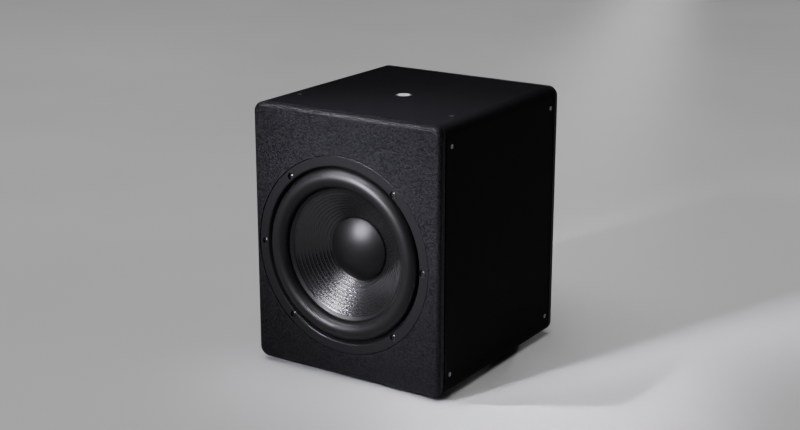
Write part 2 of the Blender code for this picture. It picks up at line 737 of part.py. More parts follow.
def dust_cap():
    rim = cone_depth(CAP_RADIUS) - (CONE_THICKNESS + CAP_THICKNESS) / 2 - 2 * GAP
    sphere = (CAP_RADIUS ** 2 + CAP_RISE ** 2) / (2 * CAP_RISE)
    widest = math.asin(CAP_RADIUS / sphere)
    steps = 5
    profile = []
    for i in range(steps + 1):
        turn = widest * i / steps
        profile.append((sphere * math.sin(turn), rim - CAP_RISE + sphere * (1.0 - math.cos(turn))))
    driver_part("dust_cap", profile, "cone_black", CONE_STEPS, False, CAP_THICKNESS)


def spider():
    """The corrugated centring disc between the rear cup's ledge and the coil former."""
    steps = 4 * SPIDER_WAVES
    first = SPIDER_OUTER - SPIDER_FLAT
    last = SPIDER_INNER + SPIDER_FLAT / 2
    profile = [(SPIDER_OUTER, SPIDER_DEPTH)]
    for i in range(steps + 1):
        radius = first + (last - first) * i / steps
        wave = SPIDER_WAVE * math.sin(2.0 * math.pi * SPIDER_WAVES * i / steps)
        profile.append((radius, SPIDER_DEPTH - wave))
    profile.append((SPIDER_INNER, SPIDER_DEPTH))
    driver_part("spider", profile, "cloth", ROUND_STEPS, False, SPIDER_THICKNESS)


def voice_coil():
    former = ring(FORMER_INNER, FORMER_OUTER, FORMER_FRONT, FORMER_REAR)
    winding = ring(FORMER_OUTER + GAP, WINDING_OUTER, WINDING_FRONT, FORMER_REAR)
    driver_part("coil_former", former, "kapton", MOTOR_STEPS)
    driver_part("coil_winding", winding, "copper", MOTOR_STEPS)


def motor():
    top = CUP_REAR_BACK + GAP
    magnet_front = top + TOP_PLATE_THICKNESS + GAP
    back_front = magnet_front + MAGNET_THICKNESS + GAP
    back = back_front + BACK_PLATE_THICKNESS
    yoke = [(POLE_RADIUS, top), (POLE_RADIUS, back_front), (PLATE_RADIUS, back_front),
            (PLATE_RADIUS, back), (VENT_RADIUS, back), (VENT_RADIUS, top)]
    boot = MAGNET_RADIUS + GAP
    boot_outer = boot + BOOT_THICKNESS
    boot_front = back + GAP
    boot_back = boot_front + BOOT_THICKNESS
    mouth = 2 * VENT_RADIUS
    cover = [(boot_outer, magnet_front), (boot_outer, boot_back), (mouth, boot_back),
             (mouth, boot_front), (boot, boot_front), (boot, magnet_front)]
    top_plate = ring(GAP_RADIUS, PLATE_RADIUS, top, magnet_front - GAP)
    magnet = ring(MAGNET_BORE, MAGNET_RADIUS, magnet_front, back_front - GAP)
    driver_part("top_plate", top_plate, "zinc", MOTOR_STEPS)
    driver_part("magnet", magnet, "ferrite", MOTOR_STEPS)
    driver_part("yoke", yoke, "zinc", MOTOR_STEPS)
    driver_part("magnet_cover", cover, "rubber", MOTOR_STEPS)


def bend(points, t):
    """A point on the cubic Bezier curve through four control points."""
    a, b, c, d = points
    s = 1.0 - t
    return s ** 3 * a + 3 * s * s * t * b + 3 * s * t * t * c + t ** 3 * d


def terminals():
    """The terminal strip on the left of the rear cup and the two flexible leads to the cone."""
    thickness, length, _ = TERMINAL_SIZE
    radius = CUP_REAR_RADIUS + 3 * GAP + thickness / 2
    depth = (CUP_REAR_FRONT + CUP_REAR_BACK) / 2
    strip = box((DRIVER_X - radius, FRONT_Y + depth, DRIVER_Z), TERMINAL_SIZE)
    part(strip, "terminal_strip", "plastic")
    for name, offset in (("lead_positive", LEAD_OFFSET), ("lead_negative", -LEAD_OFFSET)):
        start = Vector((radius, 0.0, depth - length / 2 - LEAD_RADIUS - GAP))
        end = Vector((LEAD_CONE_END, 0.0, cone_depth(LEAD_CONE_END) + CONE_THICKNESS + 2 * LEAD_RADIUS))
        control = (start, start + Vector((0.0, 0.0, -LEAD_PULL)),
                   end + Vector((LEAD_PULL, 0.0, LEAD_PULL)), end)
        curve = bpy.data.curves.new(name, "CURVE")
        curve.dimensions = "3D"
        curve.bevel_depth = LEAD_RADIUS
        curve.bevel_resolution = 2
        curve.use_fill_caps = True
        spline = curve.splines.new("POLY")
        spline.points.add(LEAD_STEPS)
        for i, point in enumerate(spline.points):
            at = bend(control, i / LEAD_STEPS)
            point.co = (DRIVER_X - at.x, FRONT_Y + at.z, DRIVER_Z + offset, 1.0)
        obj = bpy.data.objects.new(name, curve)
        PARTS.objects.link(obj)
        part(obj, name, "copper")


def amp_plate():
    """The amplifier's outer plate, with its openings and the posts that carry the circuit board."""
    obj = behind_plate(0.0, MIDDLE_Z, PLATE_WIDTH, PLATE_HEIGHT, PLATE_FACE, PLATE_FACE + PLATE_THICKNESS)
    inner = PLATE_FACE + PLATE_THICKNESS
    for i, (x, z) in enumerate(post_places()):
        length = BOARD_REAR_DEPTH - GAP - inner + HOLE_CLEAR
        centre = (x, rear_y(inner - HOLE_CLEAR + length / 2), z)
        boolean(obj, tool(cylinder(centre, POST_RADIUS, length), f"board_post_{i + 1}"), "UNION")
    middle = rear_y(PLATE_FACE + PLATE_THICKNESS / 2)
    through = 3 * PLATE_THICKNESS
    for name, x in (("level", LEVEL_X), ("crossover", CROSSOVER_X)):
        hole = cylinder((x, middle, CONTROL_Z), SHAFT_RADIUS + 2 * GAP, through)
        boolean(obj, tool(hole, f"plate_hole_{name}"))
    for name, x in (("input", XLR_INPUT_X), ("output", XLR_OUTPUT_X)):
        hole = cylinder((x, middle, XLR_Z), XLR_SHELL_RADIUS + GAP, through, steps=ROUND_STEPS)
        boolean(obj, tool(hole, f"plate_hole_{name}"))
    slot = (SLIDER_SIZE[0] + SLIDER_TRAVEL, SLIDER_SIZE[1])
    for name, x, z, size, slack in (
        ("inlet", INLET_X, MAINS_Z, INLET_BODY, (GAP, GAP)),
        ("switch", SWITCH_X, MAINS_Z, SWITCH_BODY, (GAP, GAP)),
        ("phase", PHASE_X + SLIDER_TRAVEL / 2, CONTROL_Z, slot, SLIDER_SLACK),
    ):
        hole = box((x, middle, z), (size[0] + 2 * slack[0], through, size[1] + 2 * slack[1]))
        boolean(obj, tool(hole, f"plate_hole_{name}"))
    part(obj, "amp_plate", "satin_steel")


def post_places():
    for x in (-POST_X, POST_X):
        for z in POST_LEVELS:
            yield x, z


def amp_cover():
    """The sheet box that keeps the cabinet's air out of the electronics, open towards the plate."""
    near = PLATE_FACE + PLATE_THICKNESS + GAP
    edge = 2 * COVER_THICKNESS
    obj = behind_plate(0.0, MIDDLE_Z, COVER_WIDTH, COVER_HEIGHT, near, COVER_REAR_DEPTH, edge)
    wall = 2 * COVER_THICKNESS
    inside = behind_plate(
        0.0, MIDDLE_Z, COVER_WIDTH - wall, COVER_HEIGHT - wall, -PROUD, COVER_REAR_DEPTH - COVER_THICKNESS
    )
    boolean(obj, tool(inside, "cover_inside"))
    part(obj, "amp_cover", "zinc")


def electronics():
    back = BOARD_REAR_DEPTH + CIRCUIT_THICKNESS
    board = behind_plate(0.0, BOARD_Z, BOARD_WIDTH, BOARD_HEIGHT, BOARD_REAR_DEPTH, back)
    part(board, "amp_board", "circuit")
    x, z = CAPACITOR_PLACE
    middle = rear_y(back + GAP + CAPACITOR_LENGTH / 2)
    can = cylinder((x, middle, z), CAPACITOR_RADIUS, CAPACITOR_LENGTH, steps=ROUND_STEPS)
    part(can, "reservoir_capacitor", "plastic")
    x, z = TRANSFORMER_PLACE
    major, minor = TRANSFORMER_RADII
    centre = (x, rear_y(COVER_REAR_DEPTH - COVER_THICKNESS - GAP - minor), z)
    bpy.ops.mesh.primitive_torus_add(
        location=centre, rotation=(math.pi / 2, 0.0, 0.0), major_radius=major, minor_radius=minor,
        major_segments=ROUND_STEPS, minor_segments=SMALL_STEPS
    )
    part(bpy.context.object, "transformer", "winding_tape")


def heat_sink():
    """A finned extrusion on the plate, its fins upright."""
    side = SINK_WIDTH / 2
    half_pitch = side / FIN_COUNT
    half_fin = FIN_THICKNESS / 2
    foot = PLATE_FACE - GAP
    tip = foot + PROUD
    points = [(-side, 0.0), (side, 0.0)]
    for i in reversed(range(FIN_COUNT)):
        middle = half_pitch * (2 * i + 1) - side
        points += [(middle + half_pitch, SINK_BASE), (middle + half_fin, SINK_BASE),
                   (middle + half_fin, tip), (middle - half_fin, tip), (middle - half_fin, SINK_BASE)]
    points.append((-side, SINK_BASE))
    matrix = Matrix.Translation((0.0, rear_y(foot), SINK_Z))
    obj = mesh_from(outline(points, SINK_HEIGHT, matrix))
    part(obj, "heat_sink", "anodised")


def knob(name, x):
    """A control knob and its shaft, with its origin on the axis it turns about."""
    skirt = PLATE_FACE - KNOB_LIFT
    end = PLATE_FACE + PLATE_THICKNESS + SHAFT_LENGTH
    edge = 0.001
    profile = [(0.0, -PROUD), (KNOB_RADIUS - 2 * edge, -PROUD), (KNOB_RADIUS - edge, edge - PROUD),
               (KNOB_RADIUS, skirt), (SHAFT_RADIUS, skirt), (SHAFT_RADIUS, end), (0.0, end)]
    obj = turned(profile, (x, REAR_Y, CONTROL_Z), BACKWARD, ROUND_STEPS, closed=False)
    pointer_size = (POINTER_WIDTH, POINTER_WIDTH, KNOB_RADIUS)
    pointer = box((x, REAR_Y + PROUD, CONTROL_Z + KNOB_RADIUS / 2), pointer_size)
    boolean(obj, tool(pointer, f"pointer_{name}"))
    part(obj, f"{name}_knob", "plastic")


def potentiometer(name, x):
    near = PLATE_FACE + PLATE_THICKNESS + GAP
    width, length, height = POT_SIZE
    obj = behind_plate(x, CONTROL_Z, width, height, near, near + length)
    middle = (x, rear_y(near + POT_BORE_MIDDLE), CONTROL_Z)
    bore = cylinder(middle, SHAFT_RADIUS + GAP, length, steps=ROUND_STEPS)
    boolean(obj, tool(bore, f"bore_{name}"))
    part(obj, f"{name}_pot", "zinc")


def phase_slider():
    near = PLATE_FACE - SLIDER_PROUD
    far = PLATE_FACE + PLATE_THICKNESS + 2 * HOLE_CLEAR
    obj = behind_plate(PHASE_X, CONTROL_Z, *SLIDER_SIZE, near, far, SLIDER_EDGE)
    part(obj, "phase_slider", "plastic")


def power_switch():
    seat = PLATE_FACE - GAP
    obj = behind_plate(SWITCH_X, MAINS_Z, *SWITCH_FLANGE, seat - SWITCH_FLANGE_THICKNESS, seat)
    body = behind_plate(SWITCH_X, MAINS_Z, *SWITCH_BODY, PLATE_FACE - HOLE_CLEAR, SWITCH_BODY_DEPTH)
    well = behind_plate(SWITCH_X, MAINS_Z, *SWITCH_WELL, -PROUD, SWITCH_WELL_DEPTH)
    boolean(obj, tool(body, "switch_body"), "UNION")
    boolean(obj, tool(well, "switch_well"))
    part(obj, "power_switch", "plastic")


def power_rocker():
    """The rocker, standing in its off position; it turns about X on the pivot under its middle."""
    wing = ROCKER_HALF * math.tan(math.radians(ROCKER_TILT))
    keel, depth = ROCKER_KEEL
    points = [(-ROCKER_HALF, wing), (-ROCKER_HALF, -ROCKER_FLANK), (-keel, -depth), (keel, -depth),
              (ROCKER_HALF, -ROCKER_FLANK), (ROCKER_HALF, wing), (0.0, 0.0)]
    face = PLATE_FACE - SWITCH_FLANGE_THICKNESS
    points = [(z, height + ROCKER_PIVOT) for z, height in points]
    turn = Matrix.Rotation(math.pi / 2, 4, "Y") @ Matrix.Rotation(math.pi, 4, "Z")
    stand = Matrix.Rotation(math.radians(-ROCKER_TILT), 4, "X")
    place = Matrix.Translation((SWITCH_X, rear_y(face + ROCKER_PIVOT), MAINS_Z))
    obj = mesh_from(outline(points, ROCKER_WIDTH, place @ stand @ turn))
    part(obj, "power_rocker", "plastic")


def mains_inlet():
    """The appliance inlet: flange, body, the socket's well and its three blades."""
    seat = PLATE_FACE - GAP
    obj = behind_plate(INLET_X, MAINS_Z, *INLET_FLANGE, seat - FITTING_FLANGE, seat)
    body = behind_plate(INLET_X, MAINS_Z, *INLET_BODY, PLATE_FACE - HOLE_CLEAR, INLET_BODY_DEPTH)
    well = behind_plate(INLET_X, MAINS_Z, *INLET_WELL, -PROUD, INLET_WELL_DEPTH)
    boolean(obj, tool(body, "inlet_body"), "UNION")
    boolean(obj, tool(well, "inlet_well"))
    root = INLET_WELL_DEPTH + HOLE_CLEAR
    for i, (x, z) in enumerate(BLADE_PLACES):
        blade = behind_plate(INLET_X + x, MAINS_Z + z, *BLADE_SIZE, BLADE_TIP_DEPTH, root)
        boolean(obj, tool(blade, f"inlet_blade_{i + 1}"), "UNION")
    part(obj, "mains_inlet", "plastic")


def xlr_body(x):
    """A panel connector's flange and round shell, before its face is cut."""
    seat = PLATE_FACE - GAP
    obj = behind_plate(x, XLR_Z, *XLR_FLANGE, seat - FITTING_FLANGE, seat)
    centre = (x, rear_y(PLATE_FACE - HOLE_CLEAR + XLR_LENGTH / 2), XLR_Z)
    shell = cylinder(centre, XLR_SHELL_RADIUS, XLR_LENGTH, steps=ROUND_STEPS)
    return boolean(obj, tool(shell, f"xlr_shell_{x:.3f}"), "UNION")


def contact_places(x):
    for angle in CONTACT_ANGLES:
        turn = math.radians(angle)
        yield x + CONTACT_CIRCLE * math.cos(turn), XLR_Z + CONTACT_CIRCLE * math.sin(turn)


def xlr_input():
    obj = xlr_body(XLR_INPUT_X)
    for i, (x, z) in enumerate(contact_places(XLR_INPUT_X)):
        hole = cylinder((x, rear_y(PLATE_FACE), z), CONTACT_BORE, 2 * CONTACT_DEPTH)
        boolean(obj, tool(hole, f"input_contact_{i + 1}"))
    part(obj, "xlr_input", "anodised")


def xlr_output():
    obj = xlr_body(XLR_OUTPUT_X)
    floor = XLR_LENGTH
    middle = rear_y((floor - PROUD) / 2)
    well = cylinder((XLR_OUTPUT_X, middle, XLR_Z), XLR_WELL_RADIUS, floor + PROUD, steps=ROUND_STEPS)
    boolean(obj, tool(well, "output_well"))
    for i, (x, z) in enumerate(contact_places(XLR_OUTPUT_X)):
        pin = cylinder((x, rear_y(floor + HOLE_CLEAR - PIN_LENGTH / 2), z), PIN_RADIUS, PIN_LENGTH)
        boolean(obj, tool(pin, f"output_pin_{i + 1}"), "UNION")
    part(obj, "xlr_output", "anodised")


def cabinet():
    front_baffle()
    cabinet_sleeve()
    rear_panel()
    boards()
    wadding()
    feet()
    badge()
    screws()


def driver():
    basket()
    gasket()
    surround()
    cone()
    dust_cap()
    voice_coil()
    spider()
    motor()
    terminals()


def amplifier():
    amp_plate()
    amp_cover()
    electronics()
    heat_sink()
    for name, x in (("level", LEVEL_X), ("crossover", CROSSOVER_X)):
        knob(name, x)
        potentiometer(name, x)
    phase_slider()
    power_switch()
    power_rocker()
    mains_inlet()
    xlr_input()
    xlr_output()


clear_scene()
PARTS = new_collection("subwoofer")
CUTTERS = new_collection("cutters")
cabinet()
driver()
amplifier()
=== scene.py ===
"""Looks of the ten-inch powered subwoofer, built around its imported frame.

Metres, +Z up. The driver faces -Y and the amplifier faces +Y.
A "depth" runs from the baffle's face into the cabinet; a "rear depth" runs in from the rear face.
"""

import math

import bmesh
import bpy
from mathutils import Matrix, Vector


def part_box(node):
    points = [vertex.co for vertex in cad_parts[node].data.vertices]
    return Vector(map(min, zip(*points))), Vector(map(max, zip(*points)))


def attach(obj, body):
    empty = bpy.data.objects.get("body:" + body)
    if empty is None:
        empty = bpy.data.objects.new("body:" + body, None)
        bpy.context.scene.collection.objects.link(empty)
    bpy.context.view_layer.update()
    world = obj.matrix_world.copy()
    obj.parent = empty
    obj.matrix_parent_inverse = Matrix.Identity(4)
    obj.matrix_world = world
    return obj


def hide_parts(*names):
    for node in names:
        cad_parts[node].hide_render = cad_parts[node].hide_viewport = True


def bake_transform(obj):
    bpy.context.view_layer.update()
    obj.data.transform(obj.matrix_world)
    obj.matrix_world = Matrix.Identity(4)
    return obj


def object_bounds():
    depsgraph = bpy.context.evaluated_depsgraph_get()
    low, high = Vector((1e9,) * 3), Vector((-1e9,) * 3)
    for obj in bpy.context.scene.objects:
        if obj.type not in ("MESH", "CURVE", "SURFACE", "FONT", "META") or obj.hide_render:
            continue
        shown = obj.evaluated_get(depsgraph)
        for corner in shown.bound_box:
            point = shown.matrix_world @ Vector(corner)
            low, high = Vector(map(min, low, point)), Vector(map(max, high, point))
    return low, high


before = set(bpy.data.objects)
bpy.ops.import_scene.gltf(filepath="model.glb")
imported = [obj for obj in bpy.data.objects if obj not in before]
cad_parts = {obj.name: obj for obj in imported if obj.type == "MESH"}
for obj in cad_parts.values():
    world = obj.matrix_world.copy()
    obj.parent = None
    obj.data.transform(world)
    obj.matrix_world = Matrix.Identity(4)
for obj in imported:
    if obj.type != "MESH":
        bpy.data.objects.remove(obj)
CAD_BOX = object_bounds()

# Places read from the frame
SLEEVE_LOW, SLEEVE_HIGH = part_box("cabinet_sleeve")
WIDTH = SLEEVE_HIGH.x - SLEEVE_LOW.x
FLOOR_Z, TOP_Z = SLEEVE_LOW.z, SLEEVE_HIGH.z
MIDDLE_Z = (FLOOR_Z + TOP_Z) / 2
BODY_HEIGHT = TOP_Z - FLOOR_Z
FRONT_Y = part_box("front_baffle")[0].y
REAR_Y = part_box("rear_panel")[1].y
PROUD = CAD_BOX[1].y - REAR_Y  # how far the knobs and the sink stand out of the rear
FLANGE_LOW, FLANGE_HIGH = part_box("basket_gasket")
DRIVER = Vector(((FLANGE_LOW.x + FLANGE_HIGH.x) / 2, FRONT_Y, (FLANGE_LOW.z + FLANGE_HIGH.z) / 2))

# Cabinet: sizes shared with the frame's design, then those of its finer details
CORNER_RADIUS = 0.014
EDGE_RADIUS = 0.006
PANEL_SLAB = 0.0115
GROOVE = 0.003
PANEL_THICKNESS = PANEL_SLAB + GROOVE
PLUG_DEPTH = 0.0245
PLUG_WIDTH = 0.2608
PLUG_HEIGHT = 0.3268
PLUG_RADIUS = 0.002
SLEEVE_THICKNESS = 0.002
FOOT_RADIUS = 0.016
FOOT_HEIGHT = 0.0057
BADGE_RADIUS = 0.0112
SCREW_HEAD_RADIUS = 0.0031
SCREW_HEAD_HEIGHT = 0.0020
SCREW_SHANK_RADIUS = 0.0019
SCREW_LENGTH = 0.0105
GAP = 0.0003
FACE_LIP = 0.0004
PLATE_SLACK = 0.001
RECESS_RADIUS = 0.003
RECESS_LIP = 0.0005
SLEEVE_EDGE = 0.0006
HOLE_REACH = 0.010
HEAD_PROUD = 0.00005
HEAD_EDGE = 0.0001
SOCKET_START = -0.001
SLEEVE_SOCKET = 0.0018
SLEEVE_SOCKET_DEPTH = 0.0013
BADGE_DEPTH = 0.0017
BADGE_RING = BADGE_RADIUS - 0.0016
BADGE_RIM = BADGE_RADIUS - 0.0004
BADGE_GROOVE_DEPTH = 0.00012
BADGE_GROOVE_WIDTH = 0.0003
FOOT_SOCKET = 0.0030
FOOT_SOCKET_DEPTH = 0.0024

# Radius, depth and rounding of the corners of a foot and of its screw
FOOT_PROFILE = (
    (0.0055, 0.0, 0.0004), (FOOT_RADIUS - 0.0006, 0.0, 0.0010), (FOOT_RADIUS, 0.0022, 0.0010),
    (FOOT_RADIUS - 0.0012, FOOT_HEIGHT, 0.0004), (0.0022, FOOT_HEIGHT), (0.0022, 0.0034),
    (0.0055, 0.0034, 0.0003),
)
FOOT_SCREW_PROFILE = (
    (0.0, 0.0012), (0.0042, 0.0012, 0.0007), (0.0042, 0.0032), (0.0019, 0.0032), (0.0019, 0.0072),
    (0.0, 0.0072),
)

# Driver: sizes shared with the frame's design, then those of its finer details
FLANGE_RADIUS = 0.133
FLANGE_FACE = 0.0006
FLANGE_BACK = 0.0052
FLANGE_INNER = 0.120
FLANGE_SEAT = 0.0068
CUP_RADIUS = 0.119
LEDGE_RADIUS = 0.117
LEDGE_DEPTH = 0.0088
BOLT_CIRCLE_RADIUS = 0.1245
BOLT_ANGLE = 50.0
BOLT_ANGLES = (0.0, BOLT_ANGLE, 180.0 - BOLT_ANGLE, 180.0, 180.0 + BOLT_ANGLE, -BOLT_ANGLE)
COUNTERBORE_RADIUS = 0.0046
COUNTERBORE_DEPTH = 0.0032
BOLT_HEAD_RADIUS = 0.0035
BOLT_SHANK_RADIUS = 0.0022
BOLT_LENGTH = 0.0103
SURROUND_OUTER = 0.1150
SURROUND_INNER = 0.0905
ROLL_HEIGHT = 0.0129
SURROUND_THICKNESS = 0.0012
SURROUND_DEPTH = 0.0079
CONE_LIP = 0.0850
CONE_EDGE_DEPTH = 0.0096
CONE_NECK = 0.0380
CONE_NECK_DEPTH = 0.0445
CONE_FLARE = 1.04
CONE_THICKNESS = 0.0014
RIB_COUNT = 10
RIB_OUTER = 0.0835
RIB_INNER = 0.0465
RIB_RISE = 0.00042
RIB_WIDTH = 0.0019
CAP_RADIUS = 0.0426
CAP_RISE = 0.014
CAP_THICKNESS = 0.001
SPIDER_DEPTH = 0.0642
SPIDER_OUTER = 0.0755
SPIDER_INNER = 0.0380
SPIDER_WAVE = 0.0020
SPIDER_WAVES = 3
SPIDER_THICKNESS = 0.001
CUP_REAR_RADIUS = 0.080
CUP_REAR_FRONT = 0.059
CUP_REAR_BACK = 0.0835
CUP_REAR_FLOOR = 0.004
CUP_REAR_BORE = 0.0440
CUP_REAR_INNER = 0.0700
CUP_REAR_LEDGE = 0.0760
THROAT_RADIUS = 0.1120
THROAT_DEPTH = 0.0130
FLANGE_LAND = 0.0060
SPOKE_COUNT = 6
LEG_START = Vector((0.1150, 0.0105))
LEG_END = Vector((CUP_REAR_RADIUS, CUP_REAR_FRONT + 0.007))
LEG_SIZE = (0.006, 0.014, 0.0015)
BOLT_SINK = 0.0011
BOLT_DOME = 0.0011
BOLT_DOME_POWER = 2.4
BOLT_DOME_SHARE = 0.97
BOLT_SHOULDER = 0.0014
BOLT_SOCKET = 0.0026
BOLT_SOCKET_DEPTH = 0.0016
ROLL_FLAT = 0.0008
BEAD_RADIUS = SURROUND_INNER - 0.0014
BEAD_SINK = 0.0007
BEAD_HEIGHT = 0.0004
BEAD_WIDTH = 0.0012
SPIDER_FLAT = 0.005
SPIDER_SEAT = 0.0008
LEAD_RADIUS = 0.0007
LEAD_CONE_END = 0.056
LEAD_START = CUP_REAR_RADIUS + GAP + 0.0026
LEAD_RISE = 0.0100
LEAD_CLEARANCE = 0.0014
LEAD_PULL = 0.010
LEAD_OFFSET = 0.008

# Amplifier: sizes and places shared with the frame's design, among those of its finer details
PLATE_WIDTH = 0.220
PLATE_HEIGHT = 0.280
PLATE_THICKNESS = 0.003
PLATE_FACE = 0.007
OPENING_WIDTH = 0.200
OPENING_HEIGHT = 0.260
PLATE_INNER = PLATE_FACE + PLATE_THICKNESS
POSTS = [(x, z) for x in (-0.070, 0.070) for z in (0.120, 0.250)]
POST_RADIUS = 0.003
POST_END = 0.0357
PLATE_SCREW_X = 0.105
PLATE_SCREW_ROWS = (-0.134, -0.045, 0.045, 0.134)
PLATE_SCREW_Z = 0.135
PLATE_SCREW_HOLE = 0.0018
OVERLAP = 0.001
SINK_Z = 0.268
SINK_WIDTH = 0.150
SINK_HEIGHT = 0.088
FIN_COUNT = 15
CONTROL_Z = 0.190
LEVEL_X = 0.060
CROSSOVER_X = 0.015
PHASE_X = -0.030
KNOB_RADIUS = 0.0095
SHAFT_RADIUS = 0.003
XLR_Z = 0.138
XLR_INPUT_X = 0.045
XLR_OUTPUT_X = 0.005
XLR_SHELL_RADIUS = 0.0118
XLR_BACK = 0.026
CONTACT_CIRCLE = 0.0036
XLR_SCREW_X = 0.0098
XLR_SCREW_Z = 0.0122
MAINS_Z = 0.080
INLET_X = -0.055
SWITCH_X = -0.010
SWITCH_PROUD = 0.0016
FLANGE_PROUD = 0.002
ROCKER_TILT = 8.0
ROCKER_PIVOT = 0.0020
ROCKER_HALF = 0.008
ROCKER_WIDTH = 0.0105
ROCKER_CURVE = 1.35
ROCKER_MARK_Z = 0.0045
KNOB_CLEARANCE = 0.0006
SHAFT_REACH = 0.007
KNOB_SWEEP = 140.0
MARK_COUNT = 11
MARK_DISTANCE = 0.0128
NUMBER_DISTANCE = 0.0166
NUMBER_SIZE = 0.0034
INK = 0.00003
INK_EDGE = 0.00001
PHASE_TRAVEL = 0.004

# Width, height and corner radius of flat pieces and openings at the rear
PLATE_SIZE = (PLATE_WIDTH, PLATE_HEIGHT, 0.0026)
INLET_HOLE = (0.0276, 0.0206, 0.0006)
INLET_FLANGE = (0.0310, 0.0245, 0.0020)
INLET_BODY = (0.0270, 0.0200, 0.0015)
INLET_BLADE = (0.0020, 0.0040, 0.0004)
SWITCH_HOLE = (0.0134, 0.0194, 0.0006)
SWITCH_FLANGE = (0.0150, 0.0210, 0.0012)
SWITCH_BODY = (0.0128, 0.0188, 0.0005)
SWITCH_WELL = (0.0112, 0.0174, 0.0004)
PHASE_SLOT = (0.0092, 0.0038, 0.0006)
PHASE_BUTTON = (0.0040, 0.0030, 0.0004)
PHASE_GROOVE = (0.00035, 0.0040, 0.0001)
POINTER = (0.0011, KNOB_RADIUS * 0.62, 0.0004)
SCALE_MARK = (0.00035, 0.0018, 0.0001)
ROCKER_BAR = (0.0005, 0.0024, 0.0001)
XLR_FLANGE = (0.026, 0.031, 0.0022)
XLR_KEY = (0.0024, 0.0020, 0.0003)
LATCH_OPENING = (0.0062, 0.0050, 0.0008)
LATCH_TAB = (0.0052, 0.0040, 0.0007)

# Head radius, head height, length and socket of the small screws at the rear
PLATE_SCREW = (0.0034, 0.0018, 0.010, 0.0020)
XLR_SCREW = (0.0019, 0.0008, 0.006, 0.0012)

# A knob's outline: share of its radius, depth from its face and then from its skirt, share of the fluting
KNOB_FACE = ((0.0, 0.0004, 0.0), (0.60, 0.0004, 0.0), (0.68, 0.0001, 0.0), (0.74, 0.0, 0.2),
             (0.81, 0.0002, 0.6), (0.85, 0.0008, 1.0))
KNOB_SKIRT = ((0.89, -0.0028, 1.0), (0.90, -0.0022, 0.4), (0.93, -0.0018, 0.0), (0.99, -0.0012, 0.0),
              (1.0, -0.0008, 0.0), (1.0, 0.0, 0.0))

# Fineness
RIM_STEPS = 192
ROUND_STEPS = 96
MEDIUM_STEPS = 72
SMALL_STEPS = 48
WAVES_PER_SCALE = 20.0
PAN_STEPS = 32
HOLE_STEPS = 24
CORNER_STEPS = 12
SIDE_STEPS = 48
EDGE_STEPS = 6
TINY = 1e-7

# Rounding of a piece's rims
HAIR, FINE, EDGE, WIDE, SOFT = 0.0001, 0.0002, 0.0003, 0.0004, 0.0005

# Angles, in degrees, from which an edge is sharp: on most pieces, and on those of one smooth sweep
SHARP, SMOOTH = 30.0, 60.0

FORWARD = Vector((0.0, -1.0, 0.0))
BACKWARD = Vector((0.0, 1.0, 0.0))
UP = Vector((0.0, 0.0, 1.0))

# Camera and lights: azimuth 0 is in front of the driver, positive to the object's +X side
CAMERA_PLACE = (1.088, -1.6745, 0.787)
CAMERA_AZIMUTH = 33.37
CAMERA_PITCH = 16.6
CAMERA_LENS = 68.42
SENSOR_WIDTH = 36.0


# ---------------------------------------------------------------- materials


def node(tree, kind, inputs=None, **settings):
    """Adds a shader node; an input that is another node's socket is linked, anything else is set."""
    made = tree.nodes.new(kind)
    for key, value in settings.items():
        setattr(made, key, value)
    for key, value in (inputs or {}).items():
        if isinstance(value, bpy.types.NodeSocket):
            tree.links.new(value, made.inputs[key])
        else:
            made.inputs[key].default_value = value
    return made


def place_vector(tree):
    return node(tree, "ShaderNodeTexCoord").outputs["Object"]


def noise(tree, vector, size, detail=2.0, roughness=0.5):
    """Noise whose features are about as large as size, in metres."""
    inputs = {"Vector": vector, "Scale": 1.0 / size, "Detail": detail, "Roughness": roughness}
    return node(tree, "ShaderNodeTexNoise", inputs).outputs["Fac"]


def spread(tree, value, low, high, start=0.3, end=0.7):
    """Maps a texture's middle range to low..high."""
    inputs = {"Value": value, "From Min": start, "From Max": end, "To Min": low, "To Max": high}
    return node(tree, "ShaderNodeMapRange", inputs).outputs["Result"]


def maths(tree, operation, a, b=0.0):
    return node(tree, "ShaderNodeMath", {0: a, 1: b}, operation=operation).outputs[0]


def tone(tree, share, dark, light):
    """A colour between two, by a share from 0 to 1."""
    mix = node(tree, "ShaderNodeMix", {"Factor": share}, data_type="RGBA")
    low, high = [socket for socket in mix.inputs if socket.type == "RGBA"]
    low.default_value = (*dark, 1.0)
    high.default_value = (*light, 1.0)
    return next(socket for socket in mix.outputs if socket.type == "RGBA")


def scaled(colour, factor):
    return tuple(min(channel * factor, 1.0) for channel in colour)


def principled(name, **constants):
    """A material and its tree; constants go straight on the shader's own sockets."""
    material = bpy.data.materials.new(name)
    material.use_nodes = True
    tree = material.node_tree
    shader = tree.nodes["Principled BSDF"]
    for key, value in constants.items():
        shader.inputs[key.replace("_", " ")].default_value = value
    return material, tree


def finished(material, shade, gloss, height, relief):
    """Links a colour, a roughness and a height of so much relief, in metres, to a material's shader."""
    tree = material.node_tree
    shader = tree.nodes["Principled BSDF"]
    tree.links.new(shade, shader.inputs["Base Color"])
    tree.links.new(gloss, shader.inputs["Roughness"])
    bump = node(tree, "ShaderNodeBump", {"Height": height, "Distance": relief, "Strength": 1.0})
    tree.links.new(bump.outputs["Normal"], shader.inputs["Normal"])
    return material


def surface(name, colour, roughness, grain, relief, mottle=0.2, patch=0.05, drift=0.06, **constants):
    """A painted, moulded or cast finish: fine grain in tone and relief, and a slow drift in gloss."""
    material, tree = principled(name, **constants)
    vector = place_vector(tree)
    fine = noise(tree, vector, grain, 3.0)
    slow = noise(tree, vector, patch, 4.0, 0.6)
    share = spread(tree, fine, 0.0, 1.0)
    shade = tone(tree, share, scaled(colour, 1.0 - mottle), scaled(colour, 1.0 + mottle))
    gloss = spread(tree, slow, roughness - drift, roughness + drift)
    return finished(material, shade, gloss, fine, relief)


